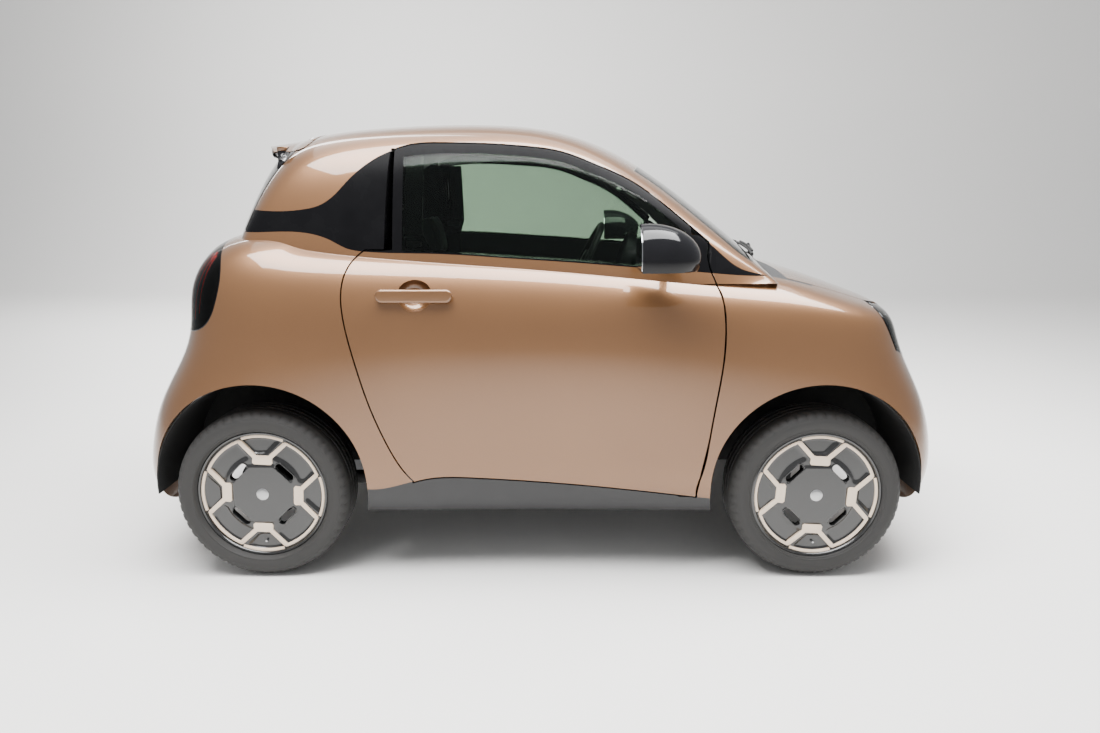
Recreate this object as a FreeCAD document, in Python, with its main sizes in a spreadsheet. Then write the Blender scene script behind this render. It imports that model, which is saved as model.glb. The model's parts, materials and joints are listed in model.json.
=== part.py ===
import FreeCAD, Part
import math
import os
from types import SimpleNamespace
from FreeCAD import Matrix, Rotation, Vector

# A two-seat microcar, parked on the ground.
# Frame: millimetres, +X forward, +Y to the left, +Z up, origin on the ground midway between the axles.

SIZES = (
    # whole car
    ("wheelbase", 1873),
    ("half_length", 1411),
    ("half_width", 832),
    ("body_height", 1555),
    ("shut_gap", 5),
    ("fit_gap", 0.3),
    ("pin_gap", 0.05),
    ("overrun", 400),
    # walls
    ("side_wall", 75),
    ("shoulder_drop", 45),
    ("glass", 6),
    ("roof_wall", 38),
    ("belt_wall", 64),
    ("rail_wall", 42),
    ("inner_drop", 82),
    ("floor_under", 290),
    # wheels
    ("hub_height", 292),
    ("tyre_radius", 292),
    ("tyre_face", 817),
    ("front_tyre_width", 185),
    ("rear_tyre_width", 205),
    ("tyre_shoulder", 26),
    ("bead_radius", 206),
    ("bead_width", 146),
    ("flange_radius", 220.5),
    ("flange_thick", 8),
    ("barrel_wall", 9),
    ("spider_thick", 20),
    ("spider_inset", 12),
    ("hub_radius", 62),
    ("hub_length", 62),
    ("axle_radius", 20),
    ("slot_inner", 98),
    ("slot_outer", 122),
    ("slot_half", 36),
    # wheel arches
    ("arch_radius", 360),
    ("arch_rise", 30),
    ("liner_gap", 1),
    ("liner_thick", 4),
    ("liner_hole", 140),
    # steering knuckles
    ("kingpin_half", 675),
    ("kingpin_radius", 9),
    ("kingpin_eye", 19),
    ("kingpin_reach", 105),
    ("eye_height", 34),
    ("upright_width", 34),
    ("arm_thick", 16),
    ("arm_width", 44),
    ("arm_inner", 360),
    ("steer_arm_length", 95),
    # doors
    ("door_hinge_x", 505),
    ("door_hinge_half", 780),
    ("door_inner", 466),
    ("hinge_low", 430),
    ("hinge_high", 800),
    ("hinge_eye_radius", 11),
    ("hinge_pin_radius", 5),
    ("hinge_eye_height", 42),
    ("hinge_plate", 10),
    ("hinge_play", 2),
    ("hinge_room", 6),
    ("hinge_sweep", 160),
    ("shelf_sweep", 118),
    ("pillar_line", 480),
    ("frame_width", 32),
    ("post_outer", 674),
    ("post_inner", 610),
    ("post_rear", 500),
    ("post_front", 570),
    ("post_top", 990),
    # door handles and mirrors
    ("handle_length", 247),
    ("handle_height", 43),
    ("handle_thick", 19),
    ("handle_room", 9),
    ("handle_round", 8),
    ("handle_foot", 13),
    ("recess_depth", 44),
    ("mirror_rear", 312),
    ("mirror_low", 1057),
    ("mirror_reach", 190),
    ("mirror_rise", 144),
    ("mirror_half", 104),
    # hatch and tailgate hinges
    ("lid_hinge_half", 300),
    ("hatch_hinge_depth", 22),
    ("spoiler_half", 520),
    ("spoiler_length", 232),
    ("spoiler_fall", 34),
    ("spoiler_thick", 20),
    ("spoiler_bow", 925),
    ("spoiler_tip", 1112),
    ("blade_outer", 508),
    ("blade_thick", 14),
    ("blade_tip", 952),
    ("blade_foot", 1335),
    ("lid_bracket_width", 18),
    ("lid_pin_radius", 4),
    ("lid_pin_length", 60),
    ("lid_eye_radius", 9),
    ("lid_room", 14),
    ("hatch_bracket_drop", 52),
    ("hatch_bracket_reach", 66),
    ("hatch_bracket_thick", 12),
    ("gate_hinge_inset", 18),
    ("gate_hinge_half", 400),
    ("gate_arm_thick", 12),
    # floor and bulkheads
    ("floor_half_length", 545),
    ("floor_half_width", 618),
    ("floor_bottom", 232),
    ("sill_box_outer", 715),
    ("sill_box_bottom", 222),
    ("sill_box_top", 322),
    ("sheet", 18),
    ("dash_top", 985),
    ("deck_height", 690),
    ("tray_height", 600),
    ("tunnel_half", 414),
    ("tray_front", 1190),
    ("deck_rear", 1180),
    ("battery_length", 860),
    ("battery_width", 980),
    ("battery_height", 78),
    ("motor_radius", 150),
    ("motor_length", 520),
    ("motor_lead", 212),
    ("trail_half", 556),
    ("trail_width", 44),
    ("trail_height", 36),
    ("beam_radius", 42),
    ("beam_half", 640),
    ("drum_radius", 110),
    ("drum_width", 56),
    # seats
    ("seat_half", 330),
    ("seat_width", 480),
    ("cushion_length", 470),
    ("cushion_height", 150),
    ("cushion_front", 190),
    ("cushion_top", 560),
    ("back_height", 590),
    ("back_thick", 130),
    ("back_lean", 13),
    ("headrest_width", 260),
    ("headrest_height", 190),
    ("headrest_thick", 90),
    # steering wheel
    ("wheel_x", 190),
    ("wheel_z", 985),
    ("wheel_lean", 26),
    ("wheel_radius", 178),
    ("wheel_grip", 14),
    ("column_radius", 34),
    ("shaft_radius", 12),
    ("shaft_length", 120),
)

# Each row is a level line of the lower body, from the sills up: heights at the tail, rear door, front
# door and nose, reach of the tail, widths at the rear axle, doors and front axle, reach of the nose and
# the two corner radii. Heights are shares of the body height, reaches and radii of half the length and
# widths of half the width.
LEVEL_SHARES = (
    (0.126, 0.126, 0.126, 0.126, 0.879, 0.821, 0.809, 0.821, 0.879, 0.071, 0.071),
    (0.138, 0.129, 0.129, 0.138, 0.974, 0.922, 0.874, 0.922, 0.975, 0.071, 0.071),
    (0.193, 0.186, 0.186, 0.193, 1.005, 1.011, 0.955, 1.007, 1.001, 0.071, 0.064),
    (0.289, 0.277, 0.277, 0.289, 0.999, 1.011, 0.961, 1.007, 1.002, 0.078, 0.064),
    (0.386, 0.367, 0.367, 0.386, 0.965, 1.011, 0.979, 1.007, 0.977, 0.071, 0.071),
    (0.476, 0.457, 0.457, 0.473, 0.900, 1.002, 0.995, 1.002, 0.921, 0.071, 0.071),
    (0.547, 0.540, 0.537, 0.534, 0.873, 0.992, 0.992, 0.988, 0.899, 0.071, 0.071),
    (0.627, 0.611, 0.598, 0.582, 0.879, 0.968, 0.971, 0.961, 0.886, 0.071, 0.071),
    (0.698, 0.672, 0.643, 0.611, 0.850, 0.920, 0.920, 0.896, 0.794, 0.078, 0.085),
    (0.749, 0.704, 0.666, 0.666, 0.773, 0.841, 0.859, 0.800, 0.624, 0.092, 0.099),
    (0.749, 0.701, 0.662, 0.675, 0.673, 0.722, 0.770, 0.673, 0.510, 0.099, 0.099),
    (0.630, 0.630, 0.630, 0.630, 0.567, 0.601, 0.649, 0.577, 0.425, 0.099, 0.099),
)
SHOULDER_LEVEL = 7
FULL_TAIL_SHARE = 0.85
FULL_NOSE_SHARE = 0.921

# Each row is a cross section of the cabin, from tail to nose: where it meets the belt, where its middle
# is, how high its middle is, its width at the belt and its width at the roof rail.
CABIN_SHARES = (
    (-0.734, -0.822, 0.643, 0.841, 0.769),
    (-0.734, -0.822, 0.682, 0.841, 0.769),
    (-0.702, -0.804, 0.759, 0.847, 0.769),
    (-0.638, -0.751, 0.875, 0.859, 0.745),
    (-0.546, -0.680, 0.962, 0.871, 0.722),
    (-0.397, -0.425, 0.985, 0.883, 0.716),
    (-0.177, -0.177, 0.994, 0.889, 0.722),
    (0.028, 0.043, 0.985, 0.891, 0.722),
    (0.170, 0.220, 0.926, 0.891, 0.727),
    (0.298, 0.354, 0.846, 0.891, 0.751),
    (0.425, 0.489, 0.752, 0.889, 0.787),
    (0.535, 0.595, 0.669, 0.883, 0.830),
    (0.560, 0.624, 0.643, 0.877, 0.841),
)
CABIN_BASE_SHARE = 0.643

# Outlines in side view. Each point is a share of half the length and a share of the body height.
BELT_SHARES = (
    (-0.907, 0.749), (-0.734, 0.750), (-0.695, 0.748), (-0.528, 0.745), (-0.484, 0.732),
    (-0.448, 0.716), (-0.404, 0.709), (-0.246, 0.705), (-0.057, 0.695), (0.050, 0.689),
    (0.238, 0.676), (0.400, 0.665), (0.468, 0.660), (0.536, 0.658),
)
BAND_TOP_SHARES = (
    (-0.907, 0.795), (-0.684, 0.795), (-0.552, 0.796), (-0.512, 0.805), (-0.478, 0.826),
    (-0.451, 0.853), (-0.410, 0.887), (-0.370, 0.910), (-0.318, 0.927), (-0.220, 0.934),
    (-0.123, 0.932), (-0.027, 0.926), (0.050, 0.916), (0.130, 0.890), (0.213, 0.857),
    (0.291, 0.808), (0.363, 0.754), (0.416, 0.713), (0.457, 0.681), (0.489, 0.668),
)
SCREEN_SIDE_SHARES = (
    (0.230, 0.878), (0.308, 0.830), (0.381, 0.776), (0.434, 0.735), (0.475, 0.703), (0.507, 0.685),
)
SCREEN_HEAD_SHARE = (0.262, 0.900)
DOOR_REAR_SHARES = (
    (-0.298, 0.222), (-0.329, 0.260), (-0.359, 0.315), (-0.391, 0.392), (-0.422, 0.491),
    (-0.445, 0.583), (-0.448, 0.641), (-0.437, 0.677), (-0.403, 0.711),
)
DOOR_FRONT_SHARES = (
    (0.375, 0.188), (0.381, 0.230), (0.398, 0.315), (0.410, 0.399), (0.422, 0.480), (0.426, 0.554),
    (0.423, 0.605), (0.410, 0.644), (0.397, 0.675), (0.397, 0.722),
)
SILL_SHARES = (
    (-0.454, 0.193), (-0.415, 0.203), (-0.388, 0.203), (-0.322, 0.215), (-0.256, 0.228),
    (-0.158, 0.228), (0.050, 0.214), (0.242, 0.197), (0.413, 0.179), (0.454, 0.177),
)
TAIL_LAMP_SHARES = (
    (-0.921, 0.711), (-0.741, 0.702), (-0.731, 0.662), (-0.737, 0.617), (-0.770, 0.558),
    (-0.808, 0.543), (-0.921, 0.543),
)
HATCH_SHARES = (
    (-0.560, 1.029), (-0.567, 0.965), (-0.638, 0.875), (-0.686, 0.795), (-0.705, 0.750),
    (-0.730, 0.707),
)
REAR_SEAM_SHARES = (
    (-0.808, 0.543), (-0.753, 0.540), (-0.730, 0.487), (-0.701, 0.473), (-0.687, 0.424),
)
FRONT_SEAM_SHARES = (
    (0.857, 0.495), (0.812, 0.487), (0.794, 0.433), (0.769, 0.392),
)
BONNET_SIDE_SHARES = ((0.600, 0.640), (0.680, 0.622), (0.760, 0.605), (0.850, 0.585))

# Places of single pieces, as shares of half the length, half the width or the body height.
HANDLE_SHARE = (-0.283, 0.623)
RECESS_LONG, RECESS_TALL = 0.040, 0.036
MIRROR_FOOT_SHARE = (0.300, 0.695)
MIRROR_STAND, MIRROR_STALK = 0.2, 0.14
MIRROR_REAR_CUT, MIRROR_LOW_CUT = 0.15, 0.25
HATCH_HINGE_SHARE = -0.590
GATE_HINGE_SHARE, GATE_TOP_SHARE, GATE_WIDTH_SHARE = 0.395, 0.740, 0.66
GLASS_WIDTH_SHARE, GLASS_LOW_SHARE, GLASS_HIGH_SHARE = 0.56, 0.775, 0.915
BONNET_WIDTH_SHARE = 0.74
COWL_LENGTH_SHARE, COWL_WIDTH_SHARE = 0.66, 0.77
LAMP_START_SHARE, LAMP_SIDE_SHARE, LAMP_HEIGHT_SHARE = 0.74, 0.765, 0.545
LAMP_WIDE_SHARE, LAMP_TALL_SHARE = 0.195, 0.062
GRILLE_WIDTH_SHARE, GRILLE_LOW_SHARE, GRILLE_HIGH_SHARE = 0.55, 0.185, 0.30
CELL_LENGTH_SHARE = 0.86
REAR_SHELF_SHARE, FRONT_SHELF_SHARE, SHELF_END_SHARE = 0.87, 0.85, 0.78
LINER_WIDTH_SHARE = 0.94
RACK_WIDTH_SHARE = 0.45
# The dashboard's outline, in column radii back from the bulkhead and down from its top.
DASH_STEPS = ((7.5, 3), (5, 8), (0, 9))
DASH_LIP_STEPS = 6
COLUMN_LENGTHS = 2.6
HORN_RADII = 1.5

DOC = FreeCAD.newDocument("Microcar")
SHEET = DOC.addObject("Spreadsheet::Sheet", "sizes")
for row, (alias, value) in enumerate(SIZES, 1):
    SHEET.set(f"A{row}", alias)
    SHEET.set(f"B{row}", str(value))
    SHEET.setAlias(f"B{row}", alias)
DOC.recompute()
size = SimpleNamespace(**{alias: float(SHEET.get(alias)) for alias, _ in SIZES})

AXLE = size.wheelbase / 2
FAR = size.half_length + size.overrun
WIDE = size.half_width + size.overrun
HIGH = size.body_height + size.overrun
PARTS = []


def add(name, shape, centre=Vector(0, 0, 0)):
    """Add one sub-part with a computed shape, drawn about its own centre."""
    part = DOC.addObject("Part::Feature", name)
    part.Label = name
    part.Shape = shape
    part.Placement = FreeCAD.Placement(centre, Rotation())
    PARTS.append(part)
    return part


def block(x0, x1, y0, y1, z0, z1):
    """A box between two corners."""
    return Part.makeBox(x1 - x0, y1 - y0, z1 - z0, Vector(x0, y0, z0))


def rod(start, end, radius):
    """A round bar between two points."""
    start, end = Vector(*start), Vector(*end)
    return Part.makeCylinder(radius, (end - start).Length, start, end - start)


def mirrored(shape):
    """The same shape on the other side of the car."""
    return shape.mirror(Vector(0, 0, 0), Vector(0, 1, 0))


def pair(shape):
    """A right-hand shape with its left-hand twin."""
    return Part.makeCompound([shape, mirrored(shape)])


def joined(first, *others):
    """Several touching shapes as one."""
    return first.fuse(list(others)).removeSplitter()


def place(share_x, share_z):
    """A point in side view, from its shares."""
    return Vector(share_x * size.half_length, 0, share_z * size.body_height)


def places(shares):
    """Points in side view, from a table of shares."""
    return [place(*share) for share in shares]


def curve(points):
    """A smooth edge through points, or a straight one between two."""
    if len(points) == 2:
        return Part.makeLine(*points)
    line = Part.BSplineCurve()
    line.interpolate(points)
    return line.toShape()


def closed(outline):
    """An outline's smooth stretches with the straight joins between them."""
    stretches = []
    for index, stretch in enumerate(outline):
        stretches.append(stretch)
        following = outline[(index + 1) % len(outline)][0]
        if (stretch[-1] - following).Length > size.pin_gap:
            stretches.append([stretch[-1], following])
    return stretches


def tangents(points):
    """The direction of a smooth stretch at each of its points."""
    if len(points) == 2:
        return [(points[1] - points[0]).normalize()] * 2
    line = Part.BSplineCurve()
    line.interpolate(points)
    return [Vector(*line.tangent(line.parameter(point))[0]) for point in points]


def outset(outline, gap):
    """An outline in side view, larger by a gap all round."""
    stretches = closed(outline)
    corners = [stretch[0] for stretch in stretches]
    turned = sum(first.x * second.z - second.x * first.z
                 for first, second in zip(corners, corners[1:] + corners[:1]))
    turn = 1 if turned > 0 else -1
    normals = [[Vector(turn * way.z, 0, -turn * way.x) for way in tangents(stretch)] for stretch in stretches]
    larger = []
    for index, stretch in enumerate(stretches):
        before, own = normals[index - 1][-1], normals[index]
        after = normals[(index + 1) % len(stretches)][0]
        points = [point + normal * gap for point, normal in zip(stretch, own)]
        points[0] = stretch[0] + (before + own[0]) * (gap / (1 + before.dot(own[0])))
        points[-1] = stretch[-1] + (own[-1] + after) * (gap / (1 + own[-1].dot(after)))
        larger.append(points)
    return larger


def side_prism(outline, right=None, left=None):
    """A prism across the car from an outline in side view, given as smooth stretches end to end."""
    right = -WIDE if right is None else right
    left = WIDE if left is None else left
    face = Part.Face(Part.Wire([curve(stretch) for stretch in closed(outline)]))
    face.translate(Vector(0, right, 0))
    return face.extrude(Vector(0, left - right, 0))


def even_knots(count):
    """Knots and multiplicities of a clamped cubic with evenly spaced spans."""
    spans = count - 3
    return [step / spans for step in range(spans + 1)], [4] + [1] * (spans - 1) + [4]


def solid_of(surface, closed_round):
    """Close a body surface with flat faces and make it solid."""
    skin = surface.toShape()
    if closed_round:
        rims = [edge for edge in skin.Edges if edge.isClosed() and edge.BoundBox.ZLength < size.pin_gap]
        caps = [Part.Face(Part.Wire([edge])) for edge in rims]
    else:
        caps = [Part.Face(Part.Wire(Part.__sortEdges__(skin.Edges)))]
    shell = Part.makeShell([skin] + caps)
    shell.sewShape()
    solid = Part.makeSolid(shell)
    if solid.Volume < 0:
        solid.reverse()
    return solid


def level_line(shares, wall):
    """Control points of one level line of the lower body, from the middle of the tail to the nose."""
    tall, wide, long = size.body_height, size.half_width, size.half_length
    z_tail, z_back, z_fore, z_nose = [share * tall for share in shares[0:4]]
    tail, nose = wall - shares[4] * long, shares[8] * long - wall
    at_rear, at_door, at_front = [share * wide - wall for share in shares[5:8]]
    tail_corner, nose_corner = shares[9] * long, shares[10] * long
    back = min(1, -tail / (FULL_TAIL_SHARE * long))
    fore = min(1, nose / (FULL_NOSE_SHARE * long))
    return [
        (tail, 0, z_tail),
        (tail, 0.42 * at_rear, z_tail),
        (tail + 0.25 * tail_corner, 0.72 * at_rear, z_tail),
        (tail + tail_corner, 0.965 * at_rear, z_tail),
        (tail + 0.205 * long * back, at_rear, 0.7 * z_tail + 0.3 * z_back),
        (-0.936 * AXLE * back, at_rear, 0.4 * z_tail + 0.6 * z_back),
        (-0.534 * AXLE * back, 0.4 * at_rear + 0.6 * at_door, z_back),
        (-0.182 * AXLE * back, at_door, 0.67 * z_back + 0.33 * z_fore),
        (0.182 * AXLE * fore, at_door, 0.33 * z_back + 0.67 * z_fore),
        (0.534 * AXLE * fore, 0.6 * at_door + 0.4 * at_front, z_fore),
        (0.936 * AXLE * fore, at_front, 0.4 * z_nose + 0.6 * z_fore),
        (nose - 0.205 * long * fore, at_front, 0.7 * z_nose + 0.3 * z_fore),
        (nose - nose_corner, 0.965 * at_front, z_nose),
        (nose - 0.25 * nose_corner, 0.72 * at_front, z_nose),
        (nose, 0.42 * at_front, z_nose),
        (nose, 0, z_nose),
    ]


def lower_body(wall, drop):
    """The lower body as a solid. A wall above zero gives the hollow inside it."""
    lines = []
    for level, shares in enumerate(LEVEL_SHARES):
        line = level_line(shares, wall)
        if wall and level < 3:
            line = [(x, y, size.floor_under + level * level * size.sheet / 2) for x, y, _ in line]
        elif level >= SHOULDER_LEVEL:
            line = [(x, y, z - drop) for x, y, z in line]
        lines.append(line + [(x, -y, z) for x, y, z in line[-2:0:-1]])
    around = len(lines[0])
    poles = [[Vector(*line[step]) for line in lines] for step in range(around)]
    knots, repeats = even_knots(len(lines))
    surface = Part.BSplineSurface()
    surface.buildFromPolesMultsKnots(
        poles, [1] * (around + 1), repeats, [step / around for step in range(around + 1)], knots,
        True, False, 3, 3)
    return solid_of(surface, True)


def cabin(top_wall=0, belt_wall=0, rail_wall=0, drop=0):
    """The cabin above the belt as a solid. Walls above zero give the hollow inside it."""
    base = CABIN_BASE_SHARE * size.body_height
    sections = []
    for share_side, share_mid, share_top, share_belt, share_rail in CABIN_SHARES:
        side, mid = share_side * size.half_length, share_mid * size.half_length
        inward = math.copysign(top_wall, -side) if abs(share_side) > abs(CABIN_SHARES[6][0]) else 0
        side, mid = side + inward, mid + inward
        top = share_top * size.body_height
        rise = top - base + drop - top_wall if share_top > CABIN_BASE_SHARE else 0
        belt, rail = share_belt * size.half_width - belt_wall, share_rail * size.half_width - rail_wall
        section = [
            (side, belt, 0),
            (side, 0.985 * belt, 0.16 * rise),
            (side, (belt + rail) / 2, 0.56 * rise),
            (0.95 * side + 0.05 * mid, rail, 0.87 * rise),
            (0.65 * side + 0.35 * mid, 0.78 * rail, 0.965 * rise),
            (0.12 * side + 0.88 * mid, 0.36 * rail, rise),
            (mid, 0, rise),
        ]
        section = [(x, y, base + z - drop) for x, y, z in section]
        sections.append(section + [(x, -y, z) for x, y, z in section[-2::-1]])
    poles = [[Vector(*point) for point in section] for section in sections]
    along, along_repeats = even_knots(len(poles))
    across, across_repeats = even_knots(len(poles[0]))
    surface = Part.BSplineSurface()
    surface.buildFromPolesMultsKnots(
        poles, along_repeats, across_repeats, along, across, False, False, 3, 3)
    return solid_of(surface, False)


def arch_cut(radius):
    """Round holes through the body at both axles."""
    height = size.hub_height + size.arch_rise
    return joined(*[rod((x, -WIDE, height), (x, WIDE, height), radius) for x in (-AXLE, AXLE)])


LOWER = lower_body(0, 0)
CABIN = cabin()
OUTER = LOWER.fuse(CABIN)
HOLLOW = lower_body(size.side_wall, size.shoulder_drop).fuse(
    cabin(size.roof_wall, size.belt_wall, size.rail_wall, size.inner_drop))
PANE = OUTER.cut(cabin(size.glass, size.glass, size.glass))
SKIN = OUTER.cut(HOLLOW).cut(arch_cut(size.arch_radius)).cut(
    block(-CELL_LENGTH_SHARE * size.half_length, CELL_LENGTH_SHARE * size.half_length,
          -size.sill_box_outer, size.sill_box_outer,
          -FAR, size.floor_under + size.sheet))
RIGHT = block(-FAR, FAR, -WIDE, 0, -FAR, HIGH)

BELT = places(BELT_SHARES)
BAND_TOP = places(BAND_TOP_SHARES)
DOOR_REAR = places(DOOR_REAR_SHARES)
DOOR_FRONT = places(DOOR_FRONT_SHARES)
SILL = places(SILL_SHARES)


def below(line):
    """Everything lower than a line in side view."""
    return side_prism([line, [Vector(line[-1].x, 0, -FAR), Vector(line[0].x, 0, -FAR)]])


def between(line, low, high):
    """The part of a line between two places along the car, ends included."""
    inside = [point for point in line if low < point.x < high]
    ends = []
    for stop in (low, high):
        for first, second in zip(line, line[1:]):
            if first.x <= stop <= second.x:
                share = (stop - first.x) / (second.x - first.x)
                ends.append(first + (second - first) * share)
                break
    return [ends[0]] + inside + [ends[1]]


def shifted(points, x, z):
    """Points in side view, moved."""
    return [point + Vector(x, 0, z) for point in points]


def surface_half_width(x, z):
    """How far the outer surface is from the middle of the car at a place in side view."""
    ray = Part.makeLine(Vector(x, 0, z), Vector(x, WIDE, z)).common(OUTER)
    return ray.BoundBox.YMax


def drum(axis_x, axis_y, outline, extra):
    """A solid of revolution about an upright axis: outline gives radius and height, bottom to top."""
    points = [Vector(axis_x - radius - extra, axis_y, height) for radius, height in outline]
    edges = [curve(points)]
    low, high = Vector(axis_x, axis_y, outline[0][1]), Vector(axis_x, axis_y, outline[-1][1])
    edges.append(Part.makeLine(points[-1], high))
    edges.append(Part.makeLine(high, low))
    edges.append(Part.makeLine(low, points[0]))
    face = Part.Face(Part.Wire(edges))
    return face.revolve(low, Vector(0, 0, 1), 360)


# The door is a stretch of the side wall. Its front edge turns about the hinge, so that edge is a surface
# of revolution about the hinge axis.
DOOR_TOP = between(BAND_TOP, -size.pillar_line, DOOR_FRONT[-1].x)
DOOR_OUTLINE = [
    DOOR_REAR,
    [Vector(-size.pillar_line, 0, DOOR_REAR[-1].z), DOOR_TOP[0]],
    DOOR_TOP,
    DOOR_FRONT[::-1],
    between(SILL, DOOR_REAR[0].x, DOOR_FRONT[0].x)[::-1],
]


def door_edge_radii():
    """Radius and height of the door's front edge about the hinge axis."""
    radii = []
    for point in DOOR_FRONT:
        ahead = point.x - size.door_hinge_x
        out = surface_half_width(point.x, point.z) - size.door_hinge_half
        radii.append((math.hypot(ahead, out), point.z))
    return radii


EDGE = door_edge_radii()
EDGE = [(EDGE[0][0], EDGE[0][1] - 2 * size.shut_gap)] + EDGE + [(EDGE[-1][0], EDGE[-1][1] + size.frame_width)]


def hinge_cut(x, half, low, high, radius):
    """An upright cylinder on the right-hand door hinge."""
    return rod((x, -half, low), (x, -half, high), radius)


def door_opening():
    """What the right-hand door and its swing take out of the body."""
    x, half = size.door_hinge_x, size.door_hinge_half
    straight = side_prism(outset(DOOR_OUTLINE, size.shut_gap), -WIDE, size.shut_gap - size.door_inner)
    lead = drum(x, -half, EDGE, size.shut_gap)
    reach = x + size.pillar_line
    depth = half - CABIN_SHARES[6][4] * size.half_width + size.rail_wall
    trail = math.hypot(reach, depth) + size.shut_gap
    low, high = BELT[7].z, max(point.z for point in DOOR_TOP) - size.frame_width / 2
    sweep = Part.makeCylinder(trail, high - low, Vector(x, -half, low))
    sweep = sweep.common(block(-size.pillar_line - size.frame_width, -size.pillar_line + size.frame_width,
                               -half, 0, low, high))
    return joined(straight, lead).fuse(sweep)


DOOR_OPENING = door_opening()
BOTH_OPENINGS = Part.makeCompound([DOOR_OPENING, mirrored(DOOR_OPENING)])
SCREEN_SIDE = places(SCREEN_SIDE_SHARES)
SCREEN_FOOT = SCREEN_SIDE[-1].z
UPPER_ZONE = side_prism([BELT, [BELT[-1], Vector(BELT[-1].x, 0, SCREEN_FOOT)],
                         [Vector(BELT[-1].x, 0, SCREEN_FOOT), Vector(FAR, 0, SCREEN_FOOT)],
                         [Vector(FAR, 0, HIGH), Vector(BELT[0].x, 0, HIGH)]])
BAND_ZONE = side_prism([BELT, BAND_TOP[::-1]])


def make_doors():
    """Door panels, frames, panes, handles and mirrors, with the hinge eyes on the panels."""
    x, half = size.door_hinge_x, size.door_hinge_half
    raw = SKIN.common(side_prism(DOOR_OUTLINE, -WIDE, -size.door_inner))
    ahead = block(x, FAR, -WIDE, 0, -FAR, HIGH).cut(drum(x, -half, EDGE, 0))
    raw = raw.cut(ahead)
    for low in (size.hinge_low, size.hinge_high):
        high = low + size.hinge_eye_height
        plate = high + size.hinge_play
        top = plate + size.hinge_plate + size.hinge_room
        raw = raw.cut(block(x - size.hinge_eye_radius - size.hinge_room, FAR, -half - size.hinge_room,
                            -size.post_inner, low - size.hinge_room, top))
        raw = raw.cut(hinge_cut(x, half, high, top, size.hinge_eye_radius + size.hinge_room))
        raw = raw.fuse(hinge_cut(x, half, low, high, size.hinge_eye_radius))
        raw = raw.cut(hinge_cut(x, half, low - size.hinge_room, top, size.hinge_pin_radius + size.pin_gap))
    sill_end, clear = size.floor_half_length + size.shut_gap, size.sill_box_top + size.shut_gap
    raw = raw.cut(block(-sill_end, sill_end, -size.sill_box_outer - size.shut_gap, 0, -FAR, clear))
    raw = raw.cut(block(x - size.hinge_sweep, FAR, size.hinge_eye_radius - half, 0, -FAR, clear))
    raw = max(raw.Solids, key=lambda solid: solid.Volume)
    panel = raw.cut(UPPER_ZONE)
    frame = raw.common(UPPER_ZONE)
    opening = window_opening(0)
    frame = frame.cut(opening)
    pane = PANE.common(RIGHT).common(window_opening(-size.fit_gap))
    handle, recess = door_handle()
    panel = panel.cut(recess)
    mirror = door_mirror()
    for side, turn in (("right", lambda shape: shape), ("left", mirrored)):
        add(f"door_{side}_panel", turn(panel))
        add(f"door_{side}_frame", turn(frame))
        add(f"door_{side}_window", turn(pane))
        add(f"door_{side}_handle", turn(handle))
        add(f"door_{side}_mirror", turn(mirror))


def window_opening(extra):
    """The hole for the door window, across the right-hand side."""
    width = size.frame_width
    rear = -size.pillar_line + width
    front = DOOR_FRONT[-1].x - 2 * width
    top = shifted(between(BAND_TOP, rear, front), 0, -width)
    bottom = shifted(between(BELT, rear, front), 0, size.shut_gap)
    return side_prism(outset([bottom, top[::-1]], extra), -WIDE, 0)


def door_handle():
    """A bar handle over a round recess in the right-hand door."""
    centre = place(*HANDLE_SHARE)
    out = surface_half_width(centre.x, centre.z)
    recess = Part.makeSphere(1, Vector(0, 0, 0))
    scale = Matrix()
    scale.scale(RECESS_LONG * size.half_length, size.recess_depth, RECESS_TALL * size.body_height)
    recess = recess.transformGeometry(scale)
    recess.translate(Vector(centre.x, -out, centre.z))
    reach, tall = size.handle_length / 2 - size.handle_height / 2, size.handle_height / 2
    near, far = -out - size.handle_room, -out - size.handle_room - size.handle_thick
    ends = [rod((centre.x + side * reach, far, centre.z), (centre.x + side * reach, near, centre.z), tall)
            for side in (-1, 1)]
    middle = block(centre.x - reach, centre.x + reach, far, near, centre.z - tall, centre.z + tall)
    grip = joined(middle, *ends)
    outer = [edge for edge in grip.Edges if edge.BoundBox.YMax < near - size.fit_gap]
    grip = grip.makeFillet(size.handle_round, outer)
    feet = [rod((centre.x + side * reach, (far + near) / 2, centre.z),
                (centre.x + side * reach, -out + size.handle_room, centre.z), size.handle_foot)
            for side in (-1, 1)]
    handle = joined(grip, *feet).cut(SKIN)
    handle = max(handle.Solids, key=lambda solid: solid.Volume)
    return handle, recess


def door_mirror():
    """A rounded mirror housing on a foot at the front of the window."""
    centre = place(*MIRROR_FOOT_SHARE)
    base = surface_half_width(centre.x, centre.z)
    housing = Part.makeSphere(1, Vector(0, 0, 0))
    scale = Matrix()
    deep = MIRROR_REAR_CUT * size.mirror_reach
    sink = MIRROR_LOW_CUT * size.mirror_rise
    scale.scale(size.mirror_reach - deep, size.mirror_half, size.mirror_rise - sink)
    housing = housing.transformGeometry(scale)
    housing.translate(Vector(size.mirror_rear + deep, -base - MIRROR_STAND * size.half_width,
                             size.mirror_low + sink))
    housing = housing.common(block(size.mirror_rear, FAR, -WIDE, 0, size.mirror_low, HIGH))
    low = size.mirror_low + sink / 2
    foot = rod((centre.x, -base + size.belt_wall / 4, low),
               (centre.x, -base - MIRROR_STALK * size.half_width, low), sink / 2 - size.shut_gap)
    return joined(housing, foot.cut(SKIN).cut(PANE))


def surface_reach(z):
    """How far back the tail reaches at a height."""
    return Part.makeLine(Vector(-FAR, 0, z), Vector(0, 0, z)).common(OUTER).BoundBox.XMin


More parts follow.
